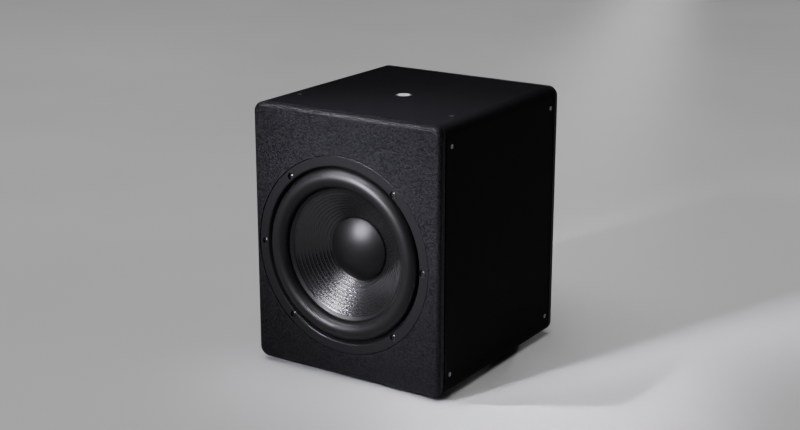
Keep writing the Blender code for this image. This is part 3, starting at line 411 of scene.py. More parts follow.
def textured_paint():
    """Black structure paint: rounded grains a millimetre across in clumps, with a painted highlight on their
    crests and painted shade in their hollows.
    """
    material, tree = principled("textured_paint", Specular_IOR_Level=0.09)
    vector = place_vector(tree)
    inputs = {"Vector": vector, "Scale": 900.0, "Smoothness": 0.6}
    grains = node(tree, "ShaderNodeTexVoronoi", inputs, feature="SMOOTH_F1").outputs["Distance"]
    rough = noise(tree, vector, 0.0013, 3.0, 0.6)
    clumps = noise(tree, vector, 0.0025, 2.0, 0.6)
    slow = noise(tree, vector, 0.07, 3.0)
    grain_share, fine_share, low, high = 0.6, 0.6, 0.46, 0.82
    fine = maths(tree, "SUBTRACT", rough, maths(tree, "MULTIPLY", grains, grain_share))
    height = maths(tree, "ADD", maths(tree, "MULTIPLY", fine, fine_share), clumps)
    # The tone follows the height: a painted highlight on the grains' crests and painted shade in their
    # hollows.
    share = spread(tree, height, 0.0, 1.0, low, high)
    shade = tone(tree, share, (0.0004, 0.0004, 0.0005), (0.0095, 0.0093, 0.0110))
    return finished(material, shade, spread(tree, slow, 0.44, 0.50), height, 0.0005)


def about_axis(tree, centre, across):
    """A point's offsets from an axis through centre, in the two directions across it, and its distance."""
    split = node(tree, "ShaderNodeSeparateXYZ", {0: place_vector(tree)})
    u, v = [maths(tree, "SUBTRACT", split.outputs[axis], getattr(centre, axis.lower())) for axis in across]
    square = maths(tree, "ADD", maths(tree, "MULTIPLY", u, u), maths(tree, "MULTIPLY", v, v))
    return u, v, maths(tree, "SQRT", square)


def cone_finish():
    """Coated pulp: semi-gloss black with short fibres lying round the cone."""
    material, tree = principled("cone_finish", Specular_IOR_Level=0.55)
    girth, fibre, relief = 0.065, 0.0011, 0.00002
    x, z, radius = about_axis(tree, DRIVER, "XZ")
    around = maths(tree, "MULTIPLY", maths(tree, "ARCTAN2", z, x), girth)
    fibre_place = node(tree, "ShaderNodeCombineXYZ", {"X": around, "Y": radius}).outputs[0]
    fibres = noise(tree, fibre_place, fibre, 3.0, 0.6)
    shade = tone(tree, spread(tree, fibres, 0.0, 1.0), (0.0006, 0.0006, 0.0007), (0.0016, 0.0016, 0.0018))
    return finished(material, shade, spread(tree, fibres, 0.22, 0.30), fibres, relief)


def turned_metal(name, colour, centre, rim, roughness, **constants):
    """Metal faced on a lathe: fine rings about an upright axis, darkened by painted shade beyond the rim's
    radius.
    """
    material, tree = principled(name, **constants)
    spacing, relief, fade, dim, bright = 0.00018, 0.00001, 1.2, 0.02, 1.1
    radius = about_axis(tree, centre, "XY")[2]
    ring_place = node(tree, "ShaderNodeCombineXYZ", {"X": radius}).outputs[0]
    rings = noise(tree, ring_place, spacing, 2.0)
    # Beyond rim the tone falls towards dim: painted shade round the edge of the disc, not a change in the
    # metal.
    inside, painted_rim_shade = spread(tree, rings, 0.75, 1.0), spread(tree, radius, 0.0, 1.0, rim, fade * rim)
    share = maths(tree, "SUBTRACT", inside, painted_rim_shade)
    shade = tone(tree, share, scaled(colour, dim), scaled(colour, bright))
    gloss = spread(tree, rings, roughness - 0.05, roughness + 0.07)
    return finished(material, shade, gloss, rings, relief)


def banded(name, colours, size, relief, roughness, direction="Z", **constants):
    """Stripes along one axis, as turns of wire, woven threads or copper tracks show."""
    material, tree = principled(name, **constants)
    vector = place_vector(tree)
    inputs = {"Vector": vector, "Scale": 1.0 / size / WAVES_PER_SCALE, "Distortion": 0.3, "Detail": 2.0}
    waves = node(tree, "ShaderNodeTexWave", inputs, bands_direction=direction).outputs["Fac"]
    shade = tone(tree, waves, *colours)
    gloss = spread(tree, noise(tree, vector, 0.01, 3.0), roughness - 0.05, roughness + 0.08)
    return finished(material, shade, gloss, waves, relief)


def cellular(name, colours, size, relief, roughness, **constants):
    """Chips, fibres or grains: a cell pattern in two tones with fine noise over it."""
    material, tree = principled(name, **constants)
    vector = place_vector(tree)
    cells = node(tree, "ShaderNodeTexVoronoi", {"Vector": vector, "Scale": 1.0 / size})
    fuzz = noise(tree, vector, size / 2, 4.0, 0.7)
    mixed = maths(tree, "ADD", maths(tree, "MULTIPLY", cells.outputs["Distance"], 0.5), fuzz)
    low, high, drift = 0.4, 1.1, 0.06
    shade = tone(tree, spread(tree, mixed, 0.0, 1.0, low, high), *colours)
    gloss = spread(tree, fuzz, roughness - drift, roughness + drift)
    return finished(material, shade, gloss, mixed, relief)


def make_finishes():
    """Every finish by its short name."""
    badge = middle_of("badge_disc")
    grey = (0.62, 0.62, 0.60)
    return {
        "textured": textured_paint(),
        "powder": surface("powder_coat", (0.006, 0.006, 0.0066), 0.46, 0.0007, 0.00002, 0.25, 0.06, 0.015,
                          Specular_IOR_Level=0.008),
        "plate": surface("plate_paint", (0.010, 0.010, 0.011), 0.42, 0.0005, 0.00004, 0.25, 0.05, 0.03,
                         Specular_IOR_Level=0.4),
        "board": cellular("fibreboard", ((0.30, 0.20, 0.12), (0.50, 0.37, 0.24)), 0.0016, 0.0001, 0.85),
        "wadding": cellular("wadding", ((0.62, 0.62, 0.60), (0.88, 0.88, 0.86)), 0.004, 0.0015, 0.92),
        # The badge's tone is darkened by painted shade beyond a radius of 0.0078.
        "badge": turned_metal("badge_metal", (0.90, 0.90, 0.92), badge, 0.0078, 0.30, Metallic=0.3),
        "rubber": surface("rubber", (0.002, 0.002, 0.0022), 0.42, 0.0009, 0.000015, 0.2, 0.04, 0.02,
                          Specular_IOR_Level=0.22),
        "foot": surface("foot_rubber", (0.018, 0.018, 0.018), 0.7, 0.0007, 0.00004, 0.3),
        "screw": surface("screw_metal", (0.24, 0.24, 0.25), 0.30, 0.0008, 0.00001, 0.3, 0.01, 0.05,
                         Metallic=1.0),
        "bolt": surface("bolt_metal", (0.035, 0.035, 0.037), 0.27, 0.0008, 0.00001, 0.3, 0.01, 0.05,
                        Metallic=0.7, Specular_IOR_Level=0.4),
        "cast": surface("cast_paint", (0.0045, 0.0045, 0.005), 0.37, 0.0006, 0.00004, 0.25, 0.05, 0.02,
                        Specular_IOR_Level=0.18),
        "cone": cone_finish(),
        "cap": surface("cap_finish", (0.0015, 0.0015, 0.0017), 0.42, 0.0012, 0.00002, 0.2, 0.03, 0.02,
                       Specular_IOR_Level=0.20),
        "copper": banded("copper", ((0.50, 0.20, 0.08), (0.85, 0.42, 0.20)), 0.0004, 0.00005, 0.3, "Y",
                         Metallic=1.0),
        "kapton": surface("kapton", (0.55, 0.28, 0.06), 0.32, 0.002, 0.00001, 0.12),
        "cloth": banded("spider_cloth", ((0.48, 0.34, 0.14), (0.70, 0.54, 0.28)), 0.0007, 0.0001, 0.85, "X"),
        "zinc": surface("zinc_plate", grey, 0.34, 0.0012, 0.00001, 0.12, 0.02, 0.08, Metallic=1.0),
        "ferrite": cellular("ferrite", ((0.035, 0.035, 0.038), (0.085, 0.085, 0.09)), 0.0009, 0.00006, 0.66),
        "circuit": banded("circuit", ((0.012, 0.09, 0.035), (0.03, 0.20, 0.09)), 0.0022, 0.00003, 0.4, "X"),
        "plastic": surface("plastic", (0.016, 0.016, 0.017), 0.42, 0.0005, 0.00003, 0.2),
        "anodised": surface("anodised", (0.030, 0.030, 0.033), 0.38, 0.0005, 0.00002, 0.2, Metallic=0.6),
        "tape": banded("winding_tape", ((0.55, 0.42, 0.08), (0.80, 0.68, 0.24)), 0.004, 0.0001, 0.5,
                       "DIAGONAL"),
        "print": surface("white_print", (0.72, 0.72, 0.70), 0.6, 0.0006, 0.00001, 0.08),
        "contact": surface("contact_metal", (0.70, 0.66, 0.58), 0.25, 0.001, 0.00001, 0.1, Metallic=1.0),
    }


# ---------------------------------------------------------------- mesh helpers


def turns(steps):
    return [2.0 * math.pi * i / steps for i in range(steps)]


def soften(points, closed=False, steps=5):
    """A profile whose corners are arcs where a point has a third number, its radius."""
    result = []
    count = len(points)
    for i, point in enumerate(points):
        corner = Vector(point[:2])
        radius = point[2] if len(point) > 2 else 0.0
        if radius <= 0.0 or (not closed and i in (0, count - 1)):
            result.append(tuple(corner))
            continue
        before = (Vector(points[i - 1][:2]) - corner).normalized()
        after = (Vector(points[(i + 1) % count][:2]) - corner).normalized()
        half = before.angle(after) / 2
        centre = corner + (before + after).normalized() * radius / math.sin(half)
        start = corner + before * radius / math.tan(half) - centre
        end = corner + after * radius / math.tan(half) - centre
        sweep = math.atan2(start.x * end.y - start.y * end.x, start.dot(end))
        for k in range(steps + 1):
            turn = sweep * k / steps
            cos, sin = math.cos(turn), math.sin(turn)
            result.append((
                centre.x + start.x * cos - start.y * sin, centre.y + start.x * sin + start.y * cos
            ))
    return result


def shell(line, thickness):
    """The closed profile of a sheet that follows a line of (radius, depth) points."""
    near, far = [], []
    for i, point in enumerate(line):
        before = Vector(line[max(i - 1, 0)])
        after = Vector(line[min(i + 1, len(line) - 1)])
        along = (after - before).normalized()
        side = Vector((-along.y, along.x)) * thickness / 2
        near.append(tuple(Vector(point) + side))
        far.append(tuple(Vector(point) - side))
    return near + far[::-1]


def bridge(bm, a, b):
    """Faces between two loops of corners, where either may be a single point."""
    count = max(len(a), len(b))
    for i in range(count):
        j = (i + 1) % count
        corners = [a[i % len(a)], a[j % len(a)], b[j % len(b)], b[i % len(b)]]
        unique = [v for k, v in enumerate(corners) if v not in corners[:k]]
        bm.faces.new(unique)


def loft(loops, closed=False, caps=False):
    """A bmesh through loops of points, each with as many points as the others, or with one."""
    bm = bmesh.new()
    rings = [[bm.verts.new(point) for point in loop] for loop in loops]
    for a, b in zip(rings, rings[1:]):
        bridge(bm, a, b)
    if closed:
        bridge(bm, rings[-1], rings[0])
    if caps:
        bm.faces.new(rings[0])
        bm.faces.new(rings[-1][::-1])
    return bm


def circle(radius, y, steps):
    if radius < TINY:
        return [(0.0, y, 0.0)]
    return [(radius * math.cos(t), y, radius * math.sin(t)) for t in turns(steps)]


def lathe(profile, steps=RIM_STEPS, closed=False):
    """A profile of (radius, depth) points turned about the Y axis, with depth along +Y."""
    return loft([circle(radius, depth, steps) for radius, depth in profile], closed)


def outline(width, height, radius, per_side=1):
    """Points (x, z) round a rounded rectangle about the origin."""
    arcs = []
    for k, (sx, sz) in enumerate(((1, 1), (-1, 1), (-1, -1), (1, -1))):
        cx, cz = sx * (width / 2 - radius), sz * (height / 2 - radius)
        angles = [math.pi / 2 * (k + i / CORNER_STEPS) for i in range(CORNER_STEPS + 1)]
        arcs.append([(cx + radius * math.cos(t), cz + radius * math.sin(t)) for t in angles])
    points = []
    for arc, following in zip(arcs, arcs[1:] + arcs[:1]):
        points += arc
        start, end = Vector(arc[-1]), Vector(following[0])
        points += [tuple(start.lerp(end, i / per_side)) for i in range(1, per_side)]
    return points


def at_y(points, y):
    return [(x, y, z) for x, z in points]


def rim_loops(width, height, radius, near, far, edge, per_side=1):
    """Loops from near to far whose two rims are rounded by edge."""
    way = math.copysign(1.0, far - near)
    steps = [math.pi / 2 * i / EDGE_STEPS for i in range(EDGE_STEPS + 1)]
    insets = [(edge * (1 - math.sin(t)), edge * (1 - math.cos(t))) for t in steps]
    loops = []
    for inset, rise in insets:
        loop = outline(width - 2 * inset, height - 2 * inset, radius - inset, per_side)
        loops.append(at_y(loop, near + way * rise))
    for inset, rise in reversed(insets):
        loop = outline(width - 2 * inset, height - 2 * inset, radius - inset, per_side)
        loops.append(at_y(loop, far - way * rise))
    return loops


def slab(width, height, radius, near, far, edge=EDGE):
    """A plate in the XZ plane between two Y values, with rounded corners and rims."""
    return loft(rim_loops(width, height, radius, near, far, edge), caps=True)


def prism(points, near, far):
    """A flat outline of (x, z) points carried from one Y value to another."""
    return loft([at_y(points, near), at_y(points, far)], caps=True)


def facing(outward, place):
    """Takes the frame whose depth runs along +Y to one that faces outward at a place."""
    turn = FORWARD.rotation_difference(Vector(outward)).to_matrix().to_4x4()
    return Matrix.Translation(place) @ turn


def link(name, data):
    """A new object in the scene for a mesh, text, a light or a camera."""
    obj = bpy.data.objects.new(name, data)
    bpy.context.scene.collection.objects.link(obj)
    return obj


def solid(bm, at=Matrix.Identity(4)):
    """An object made from a bmesh, which is used up, at its place in the scene."""
    bmesh.ops.recalc_face_normals(bm, faces=bm.faces)
    mesh = bpy.data.meshes.new("solid")
    bm.to_mesh(mesh)
    bm.free()
    mesh.transform(at)
    return link("solid", mesh)


def settle(obj):
    """Applies an object's modifiers to its mesh."""
    graph = bpy.context.evaluated_depsgraph_get()
    mesh = bpy.data.meshes.new_from_object(obj.evaluated_get(graph))
    obj.modifiers.clear()
    obj.data = mesh


def combine(obj, tools, operation="DIFFERENCE"):
    """Cuts the tools from the object, or joins them to it, and removes them."""
    for i, other in enumerate(tools):
        modifier = obj.modifiers.new(f"tool {i}", "BOOLEAN")
        modifier.operation = operation
        modifier.solver = "EXACT"
        modifier.object = other
    settle(obj)
    for other in tools:
        bpy.data.objects.remove(other, do_unlink=True)
    return obj


def shade(obj, sharp):
    obj.data.shade_smooth()
    obj.data.set_sharp_from_angle(angle=math.radians(sharp))


def dress(obj, name, finish, sharp):
    """Names a finished shape, gives it its finish and smooths it up to the sharp angle, in degrees."""
    obj.name = name
    obj.data.name = name
    obj.data.materials.clear()
    obj.data.materials.append(FINISHES[finish])
    shade(obj, sharp)


def piece(obj, name, body, finish, nodes=(), sharp=SHARP):
    """Dresses a shape and lets it ride on a body in place of CAD nodes."""
    dress(obj, name, finish, sharp)
    flats = obj.modifiers.new("Flat faces stay flat", "WEIGHTED_NORMAL")
    flats.weight = 100  # the largest faces set the shading
    flats.keep_sharp = True
    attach(obj, body)
    if nodes:
        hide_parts(*nodes)


def flexing(obj, name, finish, nodes, share):
    """A soft piece between the frame and the moving cone, dressed and baked in place; share(radius), 0 on the
    frame and 1 on the cone, is called for each vertex but its result is not used.
    """
    dress(obj, name, finish, SMOOTH)
    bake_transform(obj)
    for vertex in obj.data.vertices:
        across = vertex.co - DRIVER
        share(math.hypot(across.x, across.z))
    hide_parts(*nodes)


def rear_y(depth):
    return REAR_Y - depth


def middle_of(name):
    """The middle of a CAD node's box."""
    low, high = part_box(name)
    return (low + high) / 2


# ---------------------------------------------------------------- cabinet


def baffle():
    """The front panel: rounded rim, seam step, plug and the stepped mouth that the driver sits in."""
    face = outline(
        WIDTH - 2 * EDGE_RADIUS, BODY_HEIGHT - 2 * EDGE_RADIUS, CORNER_RADIUS - EDGE_RADIUS, SIDE_STEPS
    )
    centre_z = DRIVER.z - MIDDLE_Z
    bearings = [math.atan2(z - centre_z, x - DRIVER.x) for x, z in face]

    def ring(radius, depth):
        return [(DRIVER.x + radius * math.cos(t), depth, centre_z + radius * math.sin(t)) for t in bearings]

    throat, mouth, lip = CUP_RADIUS + 2 * GAP, FLANGE_RADIUS + 2 * GAP, FACE_LIP
    loops = [ring(throat, PLUG_DEPTH), ring(throat, FLANGE_SEAT), ring(mouth, FLANGE_SEAT)]
    bevel = lip * 0.3
    loops += [ring(mouth, lip), ring(mouth + bevel, bevel), ring(mouth + lip, 0.0)]
    loops += panel_rim(SIDE_STEPS)
    return solid(loft(loops, closed=True), Matrix.Translation((0.0, FRONT_Y, MIDDLE_Z)))


def panel_rim(per_side):
    """The outside of an end panel from its face to its plug."""
    rim = rim_loops(WIDTH, BODY_HEIGHT, CORNER_RADIUS, 0.0, 2 * PANEL_SLAB, EDGE_RADIUS, per_side)
    loops = rim[:EDGE_STEPS + 1]
    width, height = WIDTH - 2 * GROOVE, BODY_HEIGHT - 2 * GROOVE
    lip = FACE_LIP
    loops.append(at_y(outline(WIDTH, BODY_HEIGHT, CORNER_RADIUS, per_side), PANEL_SLAB - lip))
    inset = outline(WIDTH - 2 * lip, BODY_HEIGHT - 2 * lip, CORNER_RADIUS - lip, per_side)
    loops.append(at_y(inset, PANEL_SLAB))
    step = outline(width, height, CORNER_RADIUS - GROOVE, per_side)
    loops += [at_y(step, PANEL_SLAB), at_y(step, PANEL_THICKNESS)]
    plug = outline(PLUG_WIDTH, PLUG_HEIGHT, PLUG_RADIUS, per_side)
    loops += [at_y(plug, PANEL_THICKNESS), at_y(plug, PLUG_DEPTH)]
    return loops


def rear_panel():
    """The rear panel: the same rim, with a shallow recess and an opening for the amplifier's plate."""
    seat = PLATE_FACE + PLATE_THICKNESS + GAP
    width, height, edge = PLATE_WIDTH + PLATE_SLACK, PLATE_HEIGHT + PLATE_SLACK, RECESS_LIP
    opening = outline(OPENING_WIDTH, OPENING_HEIGHT, RECESS_RADIUS)
    recess = outline(width, height, RECESS_RADIUS)
    lip = outline(width + 2 * edge, height + 2 * edge, RECESS_RADIUS + edge)
    loops = [at_y(opening, PLUG_DEPTH), at_y(opening, seat), at_y(recess, seat), at_y(recess, edge),
             at_y(lip, 0.0)]
    loops += panel_rim(1)
    turn = Matrix.Rotation(math.pi, 4, "Z")
    return solid(loft(loops, closed=True), Matrix.Translation((0.0, REAR_Y, MIDDLE_Z)) @ turn)


def sleeve_screws():
    """Each cover screw's node, the point where it meets the sleeve's face, and its outward axis."""
    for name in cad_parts:
        if name.startswith("sleeve_screw"):
            middle = middle_of(name)
            if "_top_" in name:
                yield name, Vector((middle.x, middle.y, TOP_Z)), UP
            else:
                sign = math.copysign(1.0, middle.x)
                yield name, Vector((sign * WIDTH / 2, middle.y, middle.z)), Vector((sign, 0.0, 0.0))


def countersunk(slack):
    """A countersunk screw from its head down; with slack it is the hole that the screw sits in."""
    head = SCREW_HEAD_RADIUS + slack
    shank = SCREW_SHANK_RADIUS + slack
    top = SOCKET_START if slack else HEAD_PROUD
    return [(0.0, top), (head - HEAD_EDGE, top), (head, top + HEAD_EDGE), (shank, SCREW_HEAD_HEIGHT),
            (shank, SCREW_LENGTH), (0.0, SCREW_LENGTH)]


def sleeve():
    """The folded steel cover: rounded front and rear edges, countersinks and the badge's hole."""
    near, far, wall = SLEEVE_LOW.y, SLEEVE_HIGH.y, SLEEVE_THICKNESS
    loops = rim_loops(WIDTH, BODY_HEIGHT, CORNER_RADIUS, near, far, SLEEVE_EDGE)
    inner = outline(WIDTH - 2 * wall, BODY_HEIGHT - 2 * wall, CORNER_RADIUS - wall)
    loops += [at_y(inner, far), at_y(inner, near)]
    obj = solid(loft(loops, closed=True), Matrix.Translation((0.0, 0.0, MIDDLE_Z)))
    holes = [solid(lathe(countersunk(GAP), SMALL_STEPS), facing(out, place))
             for _, place, out in sleeve_screws()]
    middle = middle_of("badge_disc")
    radius, reach = BADGE_RADIUS + GAP, HOLE_REACH
    bore = lathe([(0.0, -reach), (radius, -reach), (radius, reach), (0.0, reach)], ROUND_STEPS)
    holes.append(solid(bore, facing(UP, (middle.x, middle.y, TOP_Z))))
    return combine(obj, holes)


def hexagon_cut(obj, at, across, top, depth):
    """Cuts a hexagon socket into a screw's head."""
    radius, sides = across / math.sqrt(3.0), 6
    hexagon = [(radius * math.cos(t), radius * math.sin(t)) for t in turns(sides)]
    combine(obj, [solid(prism(hexagon, top, depth), at)])


def cabinet():
    piece(baffle(), "baffle_panel", "cabinet", "textured", ["front_baffle"])
    piece(rear_panel(), "back_panel", "cabinet", "textured", ["rear_panel"])
    piece(sleeve(), "steel_sleeve", "cabinet", "powder", ["cabinet_sleeve"])
    for name, place, outward in list(sleeve_screws()):
        at = facing(outward, place)
        screw = solid(lathe(countersunk(0.0), SMALL_STEPS), at)
        hexagon_cut(screw, at, SLEEVE_SOCKET, SOCKET_START, SLEEVE_SOCKET_DEPTH)
        piece(screw, f"{name}_head", "cabinet", "screw", [name])
    badge()
    feet()


def badge():
    """The plain crowned disc in the top, with a fine groove near its rim."""
    middle = middle_of("badge_disc")
    crown, steps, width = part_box("badge_disc")[1].z - TOP_Z, 8, BADGE_GROOVE_WIDTH
    profile = [(0.0, -crown)]
    for i in range(1, steps + 1):
        radius = BADGE_RING * i / steps
        profile.append((radius, -crown * (1.0 - (radius / BADGE_RADIUS) ** 2)))
    level = profile[-1][1]
    rim_level = level * 0.6
    profile += [(BADGE_RING + width, level + BADGE_GROOVE_DEPTH), (BADGE_RING + 2 * width, level),
                (BADGE_RIM, rim_level), (BADGE_RADIUS, rim_level + EDGE), (BADGE_RADIUS, BADGE_DEPTH),
                (0.0, BADGE_DEPTH)]
    obj = solid(lathe(profile, ROUND_STEPS), facing(UP, (middle.x, middle.y, TOP_Z)))
    piece(obj, "badge", "cabinet", "badge", ["badge_disc"])


def feet():
    """Rubber feet with a hollow for the screw that holds each of them."""
    rubber, head = soften(FOOT_PROFILE, closed=True, steps=4), soften(FOOT_SCREW_PROFILE, steps=4)
    for end in ("front", "rear"):
        for side in ("left", "right"):
            name = f"foot_{end}_{side}"
            middle = middle_of(name)
            at = facing(-UP, (middle.x, middle.y, 0.0))
            obj = solid(lathe(rubber, MEDIUM_STEPS, closed=True), at)
            piece(obj, f"{name}_rubber", "cabinet", "foot", [name])
            screw = solid(lathe(head, SMALL_STEPS), at)
            hexagon_cut(screw, at, FOOT_SOCKET, 0.0, FOOT_SOCKET_DEPTH)
            piece(screw, f"{name}_screw", "cabinet", "screw")


# ---------------------------------------------------------------- driver


def bolt_places():
    for angle in BOLT_ANGLES:
        turn = math.radians(angle)
        yield DRIVER + Vector((math.cos(turn), 0.0, math.sin(turn))) * BOLT_CIRCLE_RADIUS


def driver_solid(profile, closed=False, steps=RIM_STEPS):
    return solid(lathe(profile, steps, closed), Matrix.Translation(DRIVER))


def basket():
    """The cast frame: flange with counterbores, glue ledge, legs, and the cup behind them."""
    rim, sweep = 0.0006, 0.0028
    flange = soften([
        (FLANGE_RADIUS, FLANGE_FACE, rim), (FLANGE_RADIUS, FLANGE_BACK), (CUP_RADIUS, FLANGE_BACK),
        (CUP_RADIUS, THROAT_DEPTH, rim), (THROAT_RADIUS, THROAT_DEPTH, rim), (THROAT_RADIUS, LEDGE_DEPTH),
        (LEDGE_RADIUS, LEDGE_DEPTH), (LEDGE_RADIUS, FLANGE_LAND, SOFT), (FLANGE_INNER, FLANGE_FACE, sweep)
    ], closed=True)
    ledge, floor = SPIDER_DEPTH + SPIDER_SEAT, CUP_REAR_BACK - CUP_REAR_FLOOR
    front_edge, back_edge, fillet = 0.0008, 0.0015, 0.002
    cup = soften([
        (CUP_REAR_RADIUS, CUP_REAR_FRONT, front_edge), (CUP_REAR_RADIUS, CUP_REAR_BACK, back_edge),
        (CUP_REAR_BORE, CUP_REAR_BACK), (CUP_REAR_BORE, floor), (CUP_REAR_INNER, floor, fillet),
        (CUP_REAR_INNER, ledge), (CUP_REAR_LEDGE, ledge), (CUP_REAR_LEDGE, CUP_REAR_FRONT, SOFT)
    ], closed=True, steps=3)
    obj = driver_solid(flange, closed=True)
    joined = [leg(360.0 * (i + 0.5) / SPOKE_COUNT) for i in range(SPOKE_COUNT)]
    joined.append(driver_solid(cup, closed=True, steps=ROUND_STEPS))
    combine(obj, joined, "UNION")
    seat = FLANGE_FACE + COUNTERBORE_DEPTH + GAP
    bore, shank = COUNTERBORE_RADIUS, BOLT_SHANK_RADIUS + GAP
    hole = [(0.0, -PROUD), (bore + PROUD, -PROUD + FLANGE_FACE), (bore + EDGE, FLANGE_FACE),
            (bore, FLANGE_FACE + EDGE), (bore, seat), (shank, seat), (shank, LEDGE_DEPTH), (0.0, LEDGE_DEPTH)]
    return combine(obj, [solid(lathe(hole, SMALL_STEPS), Matrix.Translation(p)) for p in bolt_places()])


def leg(angle):
    """One leg of the frame, with rounded long edges, from under the flange to the rear cup."""
    run = LEG_END - LEG_START
    bar = slab(*LEG_SIZE, -run.length / 2, run.length / 2)
    slope = math.atan2(LEG_START.x - LEG_END.x, run.y)
    middle = (LEG_START + LEG_END) / 2
    lean = Matrix.Translation((middle.x, middle.y, 0.0)) @ Matrix.Rotation(slope, 4, "Z")
    turn = Matrix.Rotation(-math.radians(angle), 4, "Y")
    return solid(bar, Matrix.Translation(DRIVER) @ turn @ lean)


def driver_bolts():
    """Domed socket screws in the flange's counterbores."""
    seat = FLANGE_FACE + COUNTERBORE_DEPTH
    top, end, steps = FLANGE_FACE + BOLT_SINK, seat + BOLT_LENGTH, 8
    profile = [(0.0, top)]
    for i in range(1, steps + 1):
        share = i / steps
        depth = top + BOLT_DOME * share ** BOLT_DOME_POWER
        profile.append((BOLT_HEAD_RADIUS * BOLT_DOME_SHARE * share, depth))
    profile += [(BOLT_HEAD_RADIUS, top + BOLT_SHOULDER), (BOLT_HEAD_RADIUS, seat), (BOLT_SHANK_RADIUS, seat),
                (BOLT_SHANK_RADIUS, end), (0.0, end)]
    for i, place in enumerate(bolt_places()):
        at = Matrix.Translation(place)
        screw = solid(lathe(profile, SMALL_STEPS), at)
        hexagon_cut(screw, at, BOLT_SOCKET, 0.0, top + BOLT_SOCKET_DEPTH)
        name = f"driver_screw_{i + 1}"
        piece(screw, f"{name}_bolt", "cabinet", "bolt", [name])


def cone_depth(radius):
    """Depth of the cone's middle surface, a little steeper towards the neck."""
    share = (SURROUND_INNER - radius) / (SURROUND_INNER - CONE_NECK)
    return CONE_EDGE_DEPTH + (CONE_NECK_DEPTH - CONE_EDGE_DEPTH) * share ** CONE_FLARE


def progress(value, first, last):
    """How far a value is on its way from first to last, kept between 0 and 1."""
    return min(max((first - value) / (first - last), 0.0), 1.0)


def surround():
    """The half-roll suspension, from the frame's glue ledge over to the cone's edge."""
    middle = (SURROUND_OUTER + SURROUND_INNER) / 2
    half = (SURROUND_OUTER - SURROUND_INNER) / 2
    rise = ROLL_HEIGHT - SURROUND_THICKNESS / 2
    steps, bead_steps = 48, 8
    lip_depth = cone_depth(CONE_LIP) - (CONE_THICKNESS + SURROUND_THICKNESS) / 2 - 2 * GAP
    line = [(LEDGE_RADIUS - GAP, SURROUND_DEPTH), (SURROUND_OUTER + ROLL_FLAT, SURROUND_DEPTH)]
    for i in range(steps + 1):
        turn = math.pi * i / steps
        line.append((middle + half * math.cos(turn), SURROUND_DEPTH - rise * math.sin(turn)))
    for k in range(bead_steps + 1):
        lift = BEAD_HEIGHT * (0.5 - 0.5 * math.cos(2.0 * math.pi * k / bead_steps))
        line.append((BEAD_RADIUS + BEAD_WIDTH * (0.5 - k / bead_steps), SURROUND_DEPTH + BEAD_SINK - lift))
    line.append((CONE_LIP, lip_depth))
    obj = driver_solid(shell(line, SURROUND_THICKNESS), closed=True)

    def share(radius):
        t = progress(radius, SURROUND_OUTER, SURROUND_INNER)
        return t * t * (3.0 - 2.0 * t)

    flexing(obj, "rubber_surround", "rubber", ["surround"], share)


def cone():
    """The cone, with its pressed concentric ribs."""
    across, land = 8, RIB_WIDTH * 0.7
    line = [(SURROUND_INNER, 0.0)]
    for i in range(RIB_COUNT):
        crest = RIB_OUTER + (RIB_INNER - RIB_OUTER) * i / (RIB_COUNT - 1)
        for k in range(across + 1):
            turn = 2.0 * math.pi * k / across
            line.append((crest + RIB_WIDTH * (0.5 - k / across), RIB_RISE * (0.5 - 0.5 * math.cos(turn))))
        line.append((crest - land, 0.0))
    line.append((CONE_NECK, 0.0))
    line = [(radius, cone_depth(radius) - rise) for radius, rise in line]
    obj = driver_solid(shell(line, CONE_THICKNESS), closed=True)
    piece(obj, "ribbed_cone", "cone_assembly", "cone", ["cone"], sharp=SMOOTH)


def dust_cap():
    """The domed cap over the coil, with a short flat rim glued to the cone."""
    rim = cone_depth(CAP_RADIUS) - (CONE_THICKNESS + CAP_THICKNESS) / 2 - 2 * GAP
    sphere = (CAP_RADIUS ** 2 + CAP_RISE ** 2) / (2 * CAP_RISE)
    widest = math.asin(CAP_RADIUS / sphere)
    steps = 40
    outer, inner = [], []
    for i in range(steps + 1):
        turn = widest * i / steps
        depth = rim - CAP_RISE + sphere * (1.0 - math.cos(turn))
        outer.append((sphere * math.sin(turn), depth - CAP_THICKNESS / 2))
        inner.append((sphere * math.sin(turn), depth + CAP_THICKNESS / 2))
    obj = driver_solid(outer + inner[::-1])
    piece(obj, "domed_cap", "cone_assembly", "cap", ["dust_cap"], sharp=SMOOTH)


def spider():
    """The corrugated centring disc between the rear cup's ledge and the coil former."""
    steps = 24 * SPIDER_WAVES
    first, last = SPIDER_OUTER - SPIDER_FLAT, SPIDER_INNER + SPIDER_FLAT / 2
    line = [(SPIDER_OUTER, SPIDER_DEPTH)]
    for i in range(steps + 1):
        radius = first + (last - first) * i / steps
        wave = SPIDER_WAVE * math.sin(2.0 * math.pi * SPIDER_WAVES * i / steps)
        line.append((radius, SPIDER_DEPTH - wave))
    line.append((SPIDER_INNER, SPIDER_DEPTH))
    obj = driver_solid(shell(line, SPIDER_THICKNESS), closed=True, steps=ROUND_STEPS)
    flexing(obj, "spider_disc", "cloth", ["spider"], lambda r: progress(r, first, last))


def bend(points, t):
    """A point on the cubic Bezier curve through four control points."""
    a, b, c, d = points
    s = 1.0 - t
    return s ** 3 * a + 3 * s * s * t * b + 3 * s * t * t * c + t ** 3 * d


